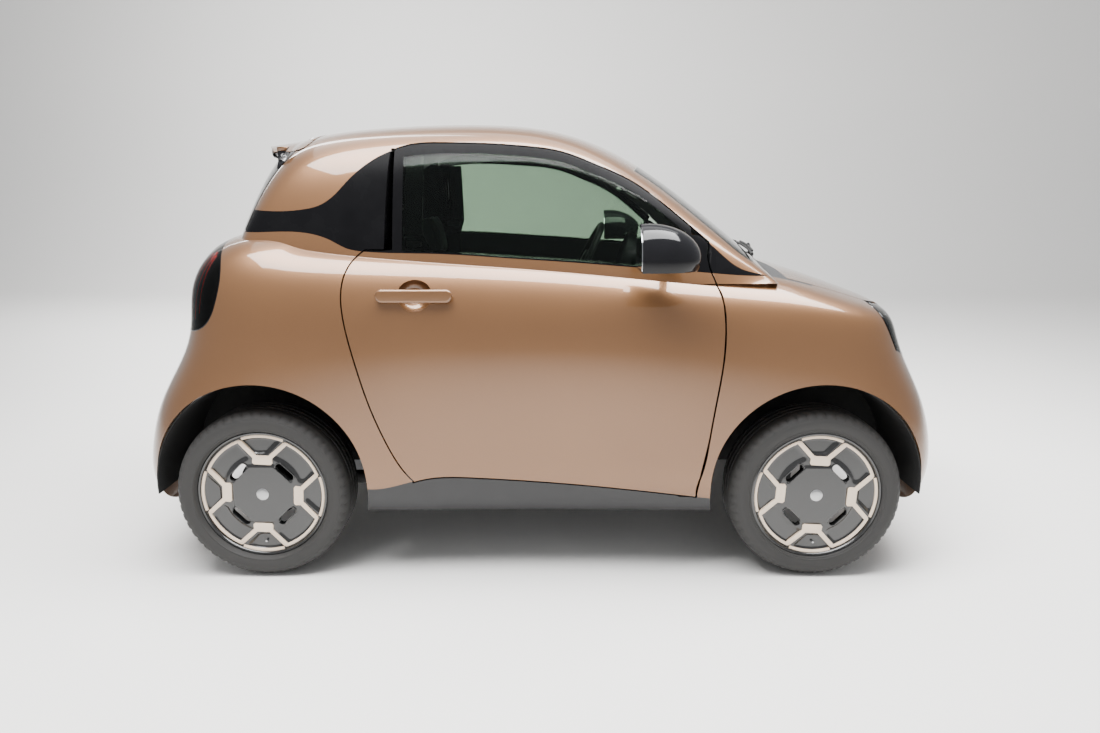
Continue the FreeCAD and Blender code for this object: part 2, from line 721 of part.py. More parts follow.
def surface_top(x, y=0):
    """How high the outer surface is at a place in plan view."""
    return Part.makeLine(Vector(x, y, 0), Vector(x, y, HIGH)).common(OUTER).BoundBox.ZMax


def cross_rod(centre, radius, low, high=None):
    """A bar across the car, from one side place to another, or as far on both sides."""
    low, high = (-low, low) if high is None else (low, high)
    return rod((centre.x, low, centre.z), (centre.x, high, centre.z), radius)


HATCH_X = HATCH_HINGE_SHARE * size.half_length
HATCH_AXIS = Vector(HATCH_X, 0, surface_top(HATCH_X) - size.hatch_hinge_depth)
HATCH_EDGE = place(*HATCH_SHARES[1])
HATCH_TURN = math.hypot(HATCH_EDGE.x - HATCH_AXIS.x, surface_top(HATCH_EDGE.x) - HATCH_AXIS.z)
TAILGATE_Z = GATE_HINGE_SHARE * size.body_height
TAILGATE_AXIS = Vector(surface_reach(TAILGATE_Z) + size.gate_hinge_inset, 0, TAILGATE_Z)
TAILGATE_TURN = math.hypot(size.gate_hinge_inset, size.shut_gap)
TAILGATE_HALF = GATE_WIDTH_SHARE * size.half_width
TAILGATE_TOP = GATE_TOP_SHARE * size.body_height


def hatch_zone(gap):
    """The region of the rear hatch: behind a line in side view, with a front edge round the hinge."""
    line = shifted(places(HATCH_SHARES), gap, 0)
    behind = side_prism([line, [Vector(-FAR, 0, line[-1].z), Vector(-FAR, 0, line[0].z)]])
    above = block(HATCH_AXIS.x, FAR, -WIDE, WIDE, HATCH_AXIS.z - 2 * HATCH_TURN, HIGH)
    return behind.cut(above).fuse(cross_rod(HATCH_AXIS, HATCH_TURN + gap, WIDE))


def spoiler():
    """A crowned lip that carries the roof line on over the rear window."""
    start = HATCH_AXIS.x - 2 * size.hatch_hinge_depth
    half, base = size.spoiler_half, CABIN_BASE_SHARE * size.body_height
    slice_box = block(start - size.pin_gap, start, -half, half, base, HIGH)
    section = min(OUTER.common(slice_box).Faces, key=lambda face: face.CenterOfMass.x)
    reach = Vector(-size.spoiler_length, 0, -size.spoiler_fall)
    bar = section.extrude(reach)
    under = bar.copy()
    under.translate(Vector(0, 0, -size.spoiler_thick))
    bow = rod((size.spoiler_bow - size.spoiler_tip, 0, base), (size.spoiler_bow - size.spoiler_tip, 0, HIGH),
              size.spoiler_bow)
    lip = bar.cut(under).common(bow)
    root = start + size.lid_room
    high = HATCH_AXIS.z - size.spoiler_fall
    tip = -size.blade_tip
    corners = [Vector(root, 0, high), Vector(tip, 0, high), Vector(tip, 0, size.blade_foot)]
    blade = side_prism([[first, second] for first, second in zip(corners, corners[1:] + corners[:1])],
                       -size.blade_outer, size.blade_thick - size.blade_outer)
    return lip.fuse(pair(blade)).cut(HOLLOW).cut(window_behind(0).common(OUTER))


def make_hatch():
    """The glazed rear hatch with its spoiler, hinged at the rear edge of the roof."""
    upper = SKIN.common(hatch_zone(0)).common(
        block(-FAR, 0, -WIDE, WIDE, BELT[0].z + size.shut_gap, HIGH))
    frame = upper.cut(window_behind(0))
    glass = PANE.common(window_behind(-size.fit_gap))
    frame = frame.fuse(spoiler().common(hatch_zone(0)))
    half, room = size.lid_hinge_half, size.lid_room
    slot = cross_rod(HATCH_AXIS, size.hatch_bracket_reach + room, half - room, half + room).common(
        block(HATCH_AXIS.x - room, FAR, 0, WIDE, 0, HATCH_AXIS.z + room - size.shut_gap))
    bore = cross_rod(HATCH_AXIS, size.lid_pin_radius + size.pin_gap, half - size.lid_pin_length,
                     half + size.lid_pin_length)
    for cut in (slot, bore):
        frame = frame.cut(pair(cut))
    add("hatch_frame", max(frame.Solids, key=lambda solid: solid.Volume))
    add("hatch_window", glass)


def lid_hinges():
    """Fixed brackets and pins of the hatch and the tailgate, on the left-hand side."""
    half, wide = size.lid_hinge_half, size.lid_bracket_width / 2
    x, z, thick = HATCH_AXIS.x, HATCH_AXIS.z, size.hatch_bracket_thick
    low, front = z - size.hatch_bracket_drop, x + size.hatch_bracket_reach
    foot = block(x - thick / 2, front, half - wide, half + wide, low, low + thick)
    riser = block(x - thick / 2, x + thick / 2, half - wide, half + wide, low, z)
    post = block(front - thick, front, half - wide, half + wide, low, HIGH).common(HOLLOW)
    post.translate(Vector(0, 0, -size.fit_gap))
    boss = cross_rod(HATCH_AXIS, size.lid_eye_radius, half - wide, half + wide)
    pin = cross_rod(HATCH_AXIS, size.lid_pin_radius, half - size.lid_pin_length / 2,
                    half + size.lid_pin_length / 2)
    hatch = joined(foot, riser, post, boss, pin)
    half, x, z = size.gate_hinge_half, TAILGATE_AXIS.x, TAILGATE_AXIS.z
    arm = block(x, -size.deck_rear, half - wide, half + wide, z - size.gate_arm_thick, z)
    drop = block(-size.deck_rear - thick, -size.deck_rear, half - wide, half + wide,
                 size.tray_height - size.sheet, z)
    boss = cross_rod(TAILGATE_AXIS, size.lid_eye_radius, half - wide, half + wide)
    pin = cross_rod(TAILGATE_AXIS, size.lid_pin_radius, half - size.lid_pin_length / 2,
                    half + size.lid_pin_length / 2)
    return [hatch, joined(arm, drop, boss, pin)]


def gate_eyes():
    """Round eyes at the foot of the tailgate, beside one fixed bracket, with the webs that hold them."""
    radius, eyes = size.lid_eye_radius, []
    for side in (-1, 1):
        start = size.gate_hinge_half + side * (size.lid_bracket_width / 2 + size.hinge_play)
        end = size.gate_hinge_half + side * size.lid_pin_length / 2
        first, last = min(start, end), max(start, end)
        eye = cross_rod(TAILGATE_AXIS, radius, first, last)
        web = block(TAILGATE_AXIS.x - radius, TAILGATE_AXIS.x + radius, first, last,
                    TAILGATE_AXIS.z, TAILGATE_AXIS.z + size.lid_room)
        eyes += [eye, web.common(OUTER)]
    return eyes


def window_behind(extra):
    """The hole for the rear window."""
    half = GLASS_WIDTH_SHARE * size.half_width + extra
    low, high = GLASS_LOW_SHARE * size.body_height - extra, GLASS_HIGH_SHARE * size.body_height + extra
    return block(-FAR, -size.pillar_line, -half, half, low, high)


def tailgate_zone(gap):
    """The region of the drop-down tailgate."""
    half = TAILGATE_HALF + gap
    return block(-FAR, -AXLE, -half, half, TAILGATE_AXIS.z - gap, TAILGATE_TOP + gap)


def make_body():
    """Outer panels fixed to the floor and frame."""
    roof = SKIN.common(UPPER_ZONE).cut(BAND_ZONE).cut(screen_zone(0)).cut(hatch_zone(size.shut_gap))
    roof = roof.cut(BOTH_OPENINGS)
    add("roof_shell", roof)
    add("windscreen", PANE.common(screen_zone(-size.fit_gap)))
    band = SKIN.common(BAND_ZONE).cut(hatch_zone(size.shut_gap)).cut(BOTH_OPENINGS)
    add("quarter_windows", band)
    lower = SKIN.cut(UPPER_ZONE).cut(BOTH_OPENINGS)
    return lower


def screen_zone(extra):
    """The region of the windscreen."""
    side = shifted(SCREEN_SIDE[:1], -extra, 0) + shifted(SCREEN_SIDE[1:], -extra, -extra)
    head = shifted([place(*SCREEN_HEAD_SHARE)], -extra, 0)[0]
    ahead = [Vector(FAR, 0, side[-1].z), Vector(FAR, 0, HIGH)]
    return side_prism([side, ahead, [Vector(head.x, 0, HIGH), head]])


def make_lower(lower):
    """Bonnet, wings, bumpers, lamps, sills and tailgate, cut from the lower body."""
    seam = size.fit_gap
    bonnet_line = places(BONNET_SIDE_SHARES)
    bonnet_half = BONNET_WIDTH_SHARE * size.half_width
    bonnet_above = [Vector(bonnet_line[-1].x, 0, HIGH), Vector(bonnet_line[0].x, 0, HIGH)]
    bonnet_zone = side_prism([bonnet_line, bonnet_above], -bonnet_half, bonnet_half)
    grown_bonnet = side_prism([shifted(bonnet_line, 0, -size.shut_gap),
                               [Vector(bonnet_line[-1].x + size.shut_gap, 0, HIGH),
                                Vector(bonnet_line[0].x - seam, 0, HIGH)]],
                              -bonnet_half - size.shut_gap, bonnet_half + size.shut_gap)
    add("bonnet", lower.common(bonnet_zone))
    rest = lower.cut(grown_bonnet)
    lamp_box = headlamp_zone(0)
    lamps = rest.common(lamp_box)
    add("headlamps", lamps)
    rest = rest.cut(headlamp_zone(seam))
    tail_line = places(TAIL_LAMP_SHARES)
    tail_zone = side_prism([tail_line]).cut(block(-FAR, 0, -TAILGATE_HALF - size.shut_gap,
                                                  TAILGATE_HALF + size.shut_gap, 0, HIGH))
    tail_all = side_prism(outset([tail_line], seam)).cut(block(-FAR, 0, -TAILGATE_HALF - size.shut_gap,
                                                       TAILGATE_HALF + size.shut_gap, 0, HIGH))
    add("tail_lamps", rest.common(tail_zone))
    rest = rest.cut(tail_all)
    gate = rest.common(tailgate_zone(0)).cut(
        block(-FAR, 0, -WIDE, WIDE, -FAR, TAILGATE_AXIS.z + size.shut_gap))
    reach = size.lid_bracket_width / 2 + size.hinge_play
    boss_room = cross_rod(TAILGATE_AXIS, size.lid_eye_radius + size.hinge_play,
                          size.gate_hinge_half - reach, size.gate_hinge_half + reach)
    eyes = gate_eyes()
    gate = gate.cut(pair(boss_room)).fuse(eyes + [mirrored(eye) for eye in eyes])
    bore = cross_rod(TAILGATE_AXIS, size.lid_pin_radius + size.pin_gap, WIDE).common(gate)
    add("tailgate", gate.cut(bore))
    swing = cross_rod(TAILGATE_AXIS, TAILGATE_TURN + size.shut_gap, TAILGATE_HALF + size.shut_gap)
    slots = block(TAILGATE_AXIS.x - size.lid_eye_radius, -size.deck_rear,
                  size.gate_hinge_half - size.lid_bracket_width,
                  size.gate_hinge_half + size.lid_bracket_width,
                  size.tray_height - 2 * size.sheet, TAILGATE_AXIS.z + size.shut_gap)
    rest = rest.cut(tailgate_zone(size.shut_gap)).cut(swing).cut(pair(slots))
    rear_seam = places(REAR_SEAM_SHARES)
    rear_zone = side_prism([rear_seam, [rear_seam[-1], Vector(rear_seam[-1].x, 0, -FAR)],
                            [Vector(-FAR, 0, -FAR), Vector(-FAR, 0, rear_seam[0].z)]])
    front_seam = places(FRONT_SEAM_SHARES)
    front_zone = side_prism([front_seam, [front_seam[-1], Vector(front_seam[-1].x, 0, -FAR)],
                             [Vector(FAR, 0, -FAR), Vector(FAR, 0, front_seam[0].z)]])
    sill_zone = below(SILL).common(block(SILL[0].x, SILL[-1].x, -WIDE, WIDE, -FAR, HIGH))
    add("sill_covers", rest.common(sill_zone))
    rest = rest.cut(sill_zone)
    add("rear_bumper", rest.common(rear_zone))
    bumper = rest.common(front_zone)
    slot = grille_zone()
    add("grille", bumper.common(slot))
    add("front_bumper", bumper.cut(slot))
    rest = rest.cut(rear_zone).cut(front_zone)
    wings = rest.common(block(0, FAR, -WIDE, WIDE, 0, HIGH))
    cowl_half = COWL_WIDTH_SHARE * size.half_width
    cowl_zone = block(0, COWL_LENGTH_SHARE * size.half_length, -cowl_half, cowl_half, 0, HIGH)
    add("cowl", wings.common(cowl_zone))
    add("front_wings", wings.cut(cowl_zone))
    add("rear_quarters", rest.common(block(-FAR, 0, -WIDE, WIDE, 0, HIGH)))


def headlamp_zone(extra):
    """Both headlamps as oval bars along the car."""
    centre = Vector(LAMP_START_SHARE * size.half_length, LAMP_SIDE_SHARE * size.half_width,
                    LAMP_HEIGHT_SHARE * size.body_height)
    wide, tall = LAMP_WIDE_SHARE * size.half_width + extra, LAMP_TALL_SHARE * size.body_height + extra
    oval = Part.Ellipse(centre, wide, tall)
    edge = oval.toShape()
    edge.rotate(centre, Vector(0, 1, 0), 90)
    edge.rotate(centre, Vector(1, 0, 0), 90)
    bar = Part.Face(Part.Wire([edge])).extrude(Vector(FAR, 0, 0))
    return Part.makeCompound([bar, mirrored(bar)])


def grille_zone():
    """The air intake low in the nose."""
    half = GRILLE_WIDTH_SHARE * size.half_width
    return block(0, FAR, -half, half, GRILLE_LOW_SHARE * size.body_height,
                 GRILLE_HIGH_SHARE * size.body_height)


def make_floor():
    """Floor, sills, pillars and bulkheads as one pressed frame."""
    long, wide = size.floor_half_length, size.floor_half_width
    floor = block(-long, long, -wide, wide, size.floor_bottom, size.floor_under)
    sills = pair(block(-long, long, -size.sill_box_outer, -wide, size.sill_box_bottom, size.sill_box_top))
    front_post = block(size.post_rear, size.post_front, -size.post_outer, -size.post_inner,
                       size.sill_box_top, size.post_top)
    rear_post = block(-size.post_front, -size.post_rear, -size.post_outer, -size.post_inner,
                      size.sill_box_top, size.post_top)
    bulkhead = block(size.post_front - size.sheet, size.post_front, -size.post_inner, size.post_inner,
                     size.floor_under, size.post_top)
    rear_wall = block(-size.post_front, -size.post_front + size.sheet, -size.post_inner, size.post_inner,
                      size.floor_under, size.deck_height + size.sheet)
    deck = block(-size.deck_rear, -size.post_front, -size.tunnel_half, size.tunnel_half,
                 size.tray_height - size.sheet, size.tray_height)
    tray = block(size.post_front, size.tray_front, -size.tunnel_half, size.tunnel_half,
                 size.tray_height - size.sheet, size.tray_height)
    rear_shelf = block(-size.deck_rear, -size.post_front,
                       -REAR_SHELF_SHARE * size.half_width, -size.tunnel_half,
                       size.deck_height, size.deck_height + size.sheet)
    shelf_end = SHELF_END_SHARE * size.half_length
    front_shelf = block(size.post_front, shelf_end, -FRONT_SHELF_SHARE * size.half_width, -size.tunnel_half,
                        size.deck_height, size.deck_height + size.sheet)
    sides = []
    for x0, x1 in ((-size.deck_rear, -size.post_front), (size.post_front, shelf_end)):
        sides.append(pair(block(x0, x1, -size.tunnel_half, -size.tunnel_half + size.sheet,
                                size.tray_height - size.sheet, size.deck_height + size.sheet)))
    frame = joined(floor, sills, pair(front_post), pair(rear_post), bulkhead, rear_wall, deck, tray,
                   pair(rear_shelf), pair(front_shelf), *sides)
    wheel_room = arch_cut(size.arch_radius).cut(
        block(-FAR, FAR, -size.tunnel_half, size.tunnel_half, -FAR, HIGH))
    swing = hinge_cut(size.door_hinge_x, size.door_hinge_half, size.sill_box_top, HIGH, size.shelf_sweep)
    swing = swing.common(block(size.post_front, FAR, -WIDE, 0, size.sill_box_top, HIGH))
    frame = frame.cut(SKIN).cut(wheel_room).cut(pair(swing))
    add("floor_frame", max(frame.Solids, key=lambda solid: solid.Volume))
    hinges = []
    x, half = size.door_hinge_x, size.door_hinge_half
    for low in (size.hinge_low, size.hinge_high):
        high = low + size.hinge_eye_height + size.hinge_play
        arm = block(x - size.hinge_eye_radius, x + size.hinge_eye_radius, -half, -size.post_outer,
                    high, high + size.hinge_plate)
        boss = hinge_cut(x, half, high, high + size.hinge_plate, size.hinge_eye_radius)
        pin = hinge_cut(x, half, low - size.hinge_play, high, size.hinge_pin_radius)
        hinges.append(joined(arm, boss, pin))
    hinges += lid_hinges()
    add("fixed_hinges", Part.makeCompound(hinges + [mirrored(hinge) for hinge in hinges]))


def make_liners():
    """Thin arch liners over each wheel."""
    height = size.hub_height + size.arch_rise
    outer = size.arch_radius - size.liner_gap
    inner = outer - size.liner_thick
    liners = []
    for x in (-AXLE, AXLE):
        near = -(size.tunnel_half + size.fit_gap)
        ring = rod((x, -LINER_WIDTH_SHARE * size.half_width, height), (x, near, height), outer)
        ring = ring.cut(rod((x, -WIDE, height), (x, near - size.liner_thick, height), inner))
        ring = ring.cut(rod((x, -WIDE, size.hub_height), (x, 0, size.hub_height), size.liner_hole))
        ring = ring.cut(block(-FAR, FAR, -WIDE, 0, -FAR, size.floor_under))
        liners.append(ring)
    add("wheelhouse_liners", Part.makeCompound(liners + [mirrored(liner) for liner in liners]))


def tyre_shape(width):
    """A tyre about its own centre, turning about Y."""
    bead, crown, half = size.bead_radius, size.tyre_radius, width / 2
    rim = size.bead_width / 2
    shoulder = size.tyre_shoulder
    wall = size.flange_radius + size.shut_gap
    outline = [
        Vector(bead, -rim, 0), Vector(size.flange_radius + size.fit_gap, -rim, 0),
        Vector(wall + shoulder / 2, -half, 0),
        Vector(crown - shoulder, -half, 0),
    ]
    edges = [Part.makeLine(first, second) for first, second in zip(outline, outline[1:])]
    mid = Vector(crown - shoulder * (1 - math.sqrt(0.5)), -half + shoulder * (1 - math.sqrt(0.5)), 0)
    edges.append(Part.Arc(outline[-1], mid, Vector(crown, -half + shoulder, 0)).toShape())
    edges.append(Part.makeLine(Vector(crown, -half + shoulder, 0), Vector(crown, half - shoulder, 0)))
    far = [Vector(point.x, -point.y, 0) for point in outline]
    edges.append(Part.Arc(Vector(crown, half - shoulder, 0), Vector(mid.x, -mid.y, 0), far[-1]).toShape())
    edges += [Part.makeLine(first, second) for first, second in zip(far[::-1], far[-2::-1])]
    edges.append(Part.makeLine(far[0], outline[0]))
    return Part.Face(Part.Wire(edges)).revolve(Vector(0, 0, 0), Vector(0, 1, 0), 360)


def rim_shape():
    """A right-hand wheel about its own centre: barrel, flanges, pierced disc and hub, facing -Y."""
    barrel = size.bead_radius - size.fit_gap
    rim = size.bead_width / 2 + size.flange_thick + size.fit_gap
    body = rod((0, -rim, 0), (0, rim, 0), barrel)
    for side in (-1, 1):
        flange = rod((0, side * rim, 0), (0, side * (rim - size.flange_thick), 0), size.flange_radius)
        body = body.fuse(flange)
    body = body.cut(rod((0, -WIDE, 0), (0, WIDE, 0), barrel - size.barrel_wall))
    face = -rim + size.spider_inset
    disc = rod((0, face, 0), (0, face + size.spider_thick, 0), barrel - size.barrel_wall / 2)
    hub = rod((0, face - size.spider_inset / 2, 0), (0, face + size.hub_length, 0), size.hub_radius)
    body = body.fuse([disc, hub]).removeSplitter()
    body = body.cut(rod((0, face + size.spider_thick, 0), (0, WIDE, 0), size.axle_radius + size.pin_gap))
    for step in range(4):
        slot = block(size.slot_inner, size.slot_outer, -WIDE, WIDE, -size.slot_half, size.slot_half)
        slot.rotate(Vector(0, 0, 0), Vector(0, 1, 0), 45 + 90 * step)
        slot = slot.common(rod((0, -WIDE, 0), (0, face + 2 * size.spider_thick, 0), barrel))
        body = body.cut(slot)
    return body


def make_wheels():
    """Four wheels with their tyres."""
    for end, x, width in (("front", AXLE, size.front_tyre_width), ("rear", -AXLE, size.rear_tyre_width)):
        centre = size.tyre_face - width / 2
        tyre = tyre_shape(width)
        rim = rim_shape()
        for side, sign, turn in (("right", -1, lambda shape: shape), ("left", 1, mirrored)):
            hub = Vector(x, sign * centre, size.hub_height)
            add(f"tyre_{end}_{side}", turn(tyre), hub)
            add(f"rim_{end}_{side}", turn(rim), hub)


def axle_bar(x, width, inner):
    """The stub axle of a right-hand wheel, from its carrier to just inside the hub."""
    centre = size.tyre_face - width / 2
    rim = size.bead_width / 2 + size.flange_thick + size.fit_gap
    face = centre + rim - size.spider_inset - size.spider_thick
    return rod((x, -inner, size.hub_height), (x, -face + size.fit_gap, size.hub_height), size.axle_radius)


def make_running_gear():
    """Knuckles, arms, rack, rear beam, motor and battery."""
    x, half, low = AXLE, size.kingpin_half, size.hub_height - size.kingpin_reach
    high = size.hub_height + size.kingpin_reach
    eye = size.eye_height
    lower_eye = rod((x, -half, low), (x, -half, low + eye), size.kingpin_eye)
    upper_eye = rod((x, -half, high - eye), (x, -half, high), size.kingpin_eye)
    web = size.upright_width / 2
    upright = block(x - web, x + web, -half - web, -half + web, low + eye, high - eye)
    bar = axle_bar(x, size.front_tyre_width, half)
    arm = block(x - size.steer_arm_length, x, -half - web / 2, -half + web / 2,
                size.hub_height - web, size.hub_height)
    hole = size.kingpin_radius + size.pin_gap
    bore = rod((x, -half, low - eye), (x, -half, low + eye - size.fit_gap), hole)
    bore_high = rod((x, -half, high - eye + size.fit_gap), (x, -half, high + eye), hole)
    knuckle = joined(lower_eye, upper_eye, upright, bar, arm).cut(bore).cut(bore_high)
    add("knuckle_right", knuckle)
    add("knuckle_left", mirrored(knuckle))
    arms = []
    lower_arm = (low - size.arm_thick - size.hinge_play, low - size.hinge_play, low + eye / 2)
    upper_arm = (high + size.hinge_play, high - eye / 2, high + size.hinge_play)
    for level, pin_z0, pin_z1 in (lower_arm, upper_arm):
        link = block(x - size.arm_width / 2, x + size.arm_width / 2, -half, -size.arm_inner,
                     level, level + size.arm_thick)
        boss = rod((x, -half, level), (x, -half, level + size.arm_thick), size.arm_width / 2)
        pin = rod((x, -half, pin_z0), (x, -half, pin_z1), size.kingpin_radius)
        arms.append(joined(link, boss, pin))
    tower = block(x - size.arm_width, x + size.arm_width, -size.arm_inner - size.fit_gap,
                  -size.arm_inner + size.arm_width, low - size.arm_thick - size.hinge_play,
                  size.tray_height - size.sheet)
    cross = block(x - size.arm_width, x + size.arm_width, -size.arm_inner, size.arm_inner,
                  low - size.arm_thick - size.hinge_play, low + size.arm_thick)
    right = joined(tower, *arms)
    rack_half = RACK_WIDTH_SHARE * size.half_width
    rack = rod((x - size.steer_arm_length, -rack_half, size.hub_height),
               (x - size.steer_arm_length, rack_half, size.hub_height), size.column_radius)
    strap = block(x - size.steer_arm_length, x, -size.arm_inner, -size.arm_inner + size.sheet,
                  size.hub_height - web, size.hub_height + web)
    add("front_subframe", joined(right, mirrored(right), cross, rack, strap, mirrored(strap)))
    end = -size.beam_half
    beam = rod((-x, end, size.hub_height), (-x, size.beam_half, size.hub_height), size.beam_radius)
    drum_right = rod((-x, end, size.hub_height), (-x, end - size.drum_width, size.hub_height),
                     size.drum_radius)
    stub = axle_bar(-x, size.rear_tyre_width, size.beam_half)
    right = joined(drum_right, stub)
    motor_x, motor_z = size.motor_lead - x, size.hub_height + size.beam_radius
    motor = rod((motor_x, -size.motor_length / 2, motor_z), (motor_x, size.motor_length / 2, motor_z),
                size.motor_radius)
    lug = block(-x, motor_x, -size.motor_length / 3, -size.motor_length / 3 + size.trail_width,
                size.hub_height - web, size.hub_height + web)
    trail = block(-x, -size.floor_half_length, -size.trail_half - size.trail_width / 2,
                  -size.trail_half + size.trail_width / 2, size.hub_height - size.trail_height,
                  size.hub_height - size.hinge_play)
    right = joined(right, lug.cut(motor), trail)
    add("rear_axle", joined(beam, right, mirrored(right)))
    add("motor_block", motor)
    pack = DOC.addObject("Part::Box", "battery_pack")
    pack.Label = "battery_pack"
    pack.setExpression("Length", "sizes.battery_length")
    pack.setExpression("Width", "sizes.battery_width")
    pack.setExpression("Height", "sizes.battery_height")
    pack.setExpression("Placement.Base.x", "-sizes.battery_length / 2")
    pack.setExpression("Placement.Base.y", "-sizes.battery_width / 2")
    pack.setExpression("Placement.Base.z", "sizes.floor_bottom - sizes.battery_height - sizes.fit_gap")
    PARTS.append(pack)


def make_cabin():
    """Seats, dashboard, column and steering wheel."""
    width, half = size.seat_width, size.seat_half
    rear = size.cushion_front - size.cushion_length
    cushion = block(rear, size.cushion_front, -half - width / 2, -half + width / 2,
                    size.cushion_top - size.cushion_height, size.cushion_top)
    plinth = block(rear, size.cushion_front - size.cushion_length / 6,
                   -half - width / 3, -half + width / 3, size.floor_under + size.fit_gap,
                   size.cushion_top - size.cushion_height)
    hip = Vector(rear, -half, size.cushion_top - size.cushion_height)
    crown = hip.z + size.back_height
    back = block(hip.x - size.back_thick, hip.x + size.frame_width, -half - width / 2, -half + width / 2,
                 hip.z, crown)
    head = size.headrest_width / 2
    rest = block(hip.x - size.headrest_thick, hip.x, -half - head, -half + head,
                 crown + size.frame_width, crown + size.frame_width + size.headrest_height)
    stalk = block(hip.x - size.headrest_thick / 2, hip.x - size.headrest_thick / 3,
                  -half - head / 2, -half + head / 2,
                  hip.z + size.back_height / 2, rest.BoundBox.ZMax - size.frame_width)
    upright = joined(back, rest, stalk)
    upright.rotate(Vector(hip.x, 0, hip.z), Vector(0, 1, 0), -size.back_lean)
    seat = joined(cushion, plinth, upright)
    add("seats", pair(seat))
    post = size.post_front - size.sheet - size.fit_gap
    reach = size.post_inner - size.fit_gap
    points = [Vector(post, 0, size.dash_top),
              Vector(post - DASH_LIP_STEPS * size.column_radius, 0, size.dash_top - size.sheet)]
    points += [Vector(post - back * size.column_radius, 0, size.dash_top - down * size.column_radius)
               for back, down in DASH_STEPS]
    edges = [[first, second] for first, second in zip(points, points[1:] + points[:1])]
    dash = side_prism(edges, -reach, reach)
    wheel = Vector(size.wheel_x, half, size.wheel_z)
    lean = math.radians(size.wheel_lean)
    down = Vector(math.cos(lean), 0, -math.sin(lean))
    start = wheel + down * size.shaft_length / 2
    column = Part.makeCylinder(size.column_radius, COLUMN_LENGTHS * size.shaft_length, start, down)
    hole = Part.makeCylinder(size.shaft_radius + size.pin_gap, size.shaft_length, start, down)
    dash = dash.fuse(column).removeSplitter().cut(hole)
    dash = dash.cut(block(post, FAR, -WIDE, WIDE, 0, HIGH))
    add("dashboard", dash)
    rim = Part.makeTorus(size.wheel_radius, size.wheel_grip, wheel, down)
    shaft = Part.makeCylinder(size.shaft_radius, size.shaft_length, wheel, down)
    boss = Part.makeCylinder(HORN_RADII * size.column_radius, size.column_radius / 2,
                             wheel - down * size.wheel_grip, down)
    spoke = block(-size.wheel_radius, size.wheel_radius, -size.wheel_grip / 2, size.wheel_grip / 2,
                  -size.wheel_grip, size.wheel_grip)
    spoke.rotate(Vector(0, 0, 0), Vector(0, 0, 1), 90)
    spoke.rotate(Vector(0, 0, 0), Vector(0, 1, 0), size.wheel_lean)
    spoke.translate(wheel)
    add("steering_wheel", joined(rim, shaft, boss, spoke))


make_doors()
make_hatch()
make_lower(make_body())
make_floor()
make_liners()
make_wheels()
make_running_gear()
make_cabin()
DOC.recompute()

for thing in DOC.Objects:
    if {"Invalid", "Error"} & set(thing.State):
        raise RuntimeError(f"{thing.Label}: {thing.State}")
for part in PARTS:
    if part.Shape.isNull() or not part.Shape.isValid() or not part.Shape.Solids:
        raise RuntimeError(f"{part.Label} has no valid solid")

os.makedirs("parts", exist_ok=True)
for part in PARTS:
    part.Shape.exportStep(f"parts/{part.Label}.step")
    box = part.Shape.optimalBoundingBox(False)
    print(f"{part.Label}: {len(part.Shape.Solids)} solids, {part.Shape.Volume:.0f} mm3, "
          f"x {box.XMin:.0f} to {box.XMax:.0f}, y {box.YMin:.0f} to {box.YMax:.0f}, "
          f"z {box.ZMin:.0f} to {box.ZMax:.0f}")
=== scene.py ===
"""Looks of a two-seat microcar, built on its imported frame. Metres, +X forward, +Y left, +Z up."""
from __future__ import annotations

import json
import logging
import math
from dataclasses import dataclass, field
from enum import Enum
from typing import Any, Callable, Iterable, Sequence

import bmesh
import bpy
import numpy as np
from mathutils import Matrix, Vector
from mathutils.bvhtree import BVHTree
from mathutils.kdtree import KDTree

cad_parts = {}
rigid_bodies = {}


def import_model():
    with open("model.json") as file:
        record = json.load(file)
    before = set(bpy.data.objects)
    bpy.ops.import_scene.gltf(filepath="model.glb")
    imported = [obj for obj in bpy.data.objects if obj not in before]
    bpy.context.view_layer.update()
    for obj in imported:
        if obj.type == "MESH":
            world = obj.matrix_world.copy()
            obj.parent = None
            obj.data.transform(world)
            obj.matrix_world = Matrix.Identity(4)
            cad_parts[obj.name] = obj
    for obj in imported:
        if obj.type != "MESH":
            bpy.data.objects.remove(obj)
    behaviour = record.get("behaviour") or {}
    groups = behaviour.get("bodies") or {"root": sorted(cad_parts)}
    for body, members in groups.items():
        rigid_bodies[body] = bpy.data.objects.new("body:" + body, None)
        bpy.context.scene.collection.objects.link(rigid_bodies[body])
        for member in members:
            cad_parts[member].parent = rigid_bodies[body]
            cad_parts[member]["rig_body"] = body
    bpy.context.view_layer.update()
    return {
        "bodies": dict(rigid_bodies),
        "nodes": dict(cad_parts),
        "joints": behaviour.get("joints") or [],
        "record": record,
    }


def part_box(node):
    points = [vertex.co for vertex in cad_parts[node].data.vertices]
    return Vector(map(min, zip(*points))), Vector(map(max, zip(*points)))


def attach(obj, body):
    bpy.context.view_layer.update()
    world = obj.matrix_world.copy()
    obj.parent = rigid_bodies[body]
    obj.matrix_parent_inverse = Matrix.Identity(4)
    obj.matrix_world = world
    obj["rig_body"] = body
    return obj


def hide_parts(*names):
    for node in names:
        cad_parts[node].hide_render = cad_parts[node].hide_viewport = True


LOG = logging.getLogger("microcar")
Point = tuple[float, float, float]

# Half the length and width, the body's height, an axle's distance from the middle and the hubs' height.
HALF_LENGTH, HALF_WIDTH, TALL, AXLE, HUB = 1.411, 0.832, 1.555, 0.9365, 0.292
# A point nearer than the first lies on the body's smooth surfaces; one past the second does not.
ON_SKIN, OFF_SKIN = 0.0012, 0.0015
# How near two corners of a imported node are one, and how finely the script's own cuts and merges are made.
MERGE, CUT = 2e-6, 1e-6


class Side(Enum):
    """A side of the car, as the sign of Y."""

    RIGHT = -1
    LEFT = 1


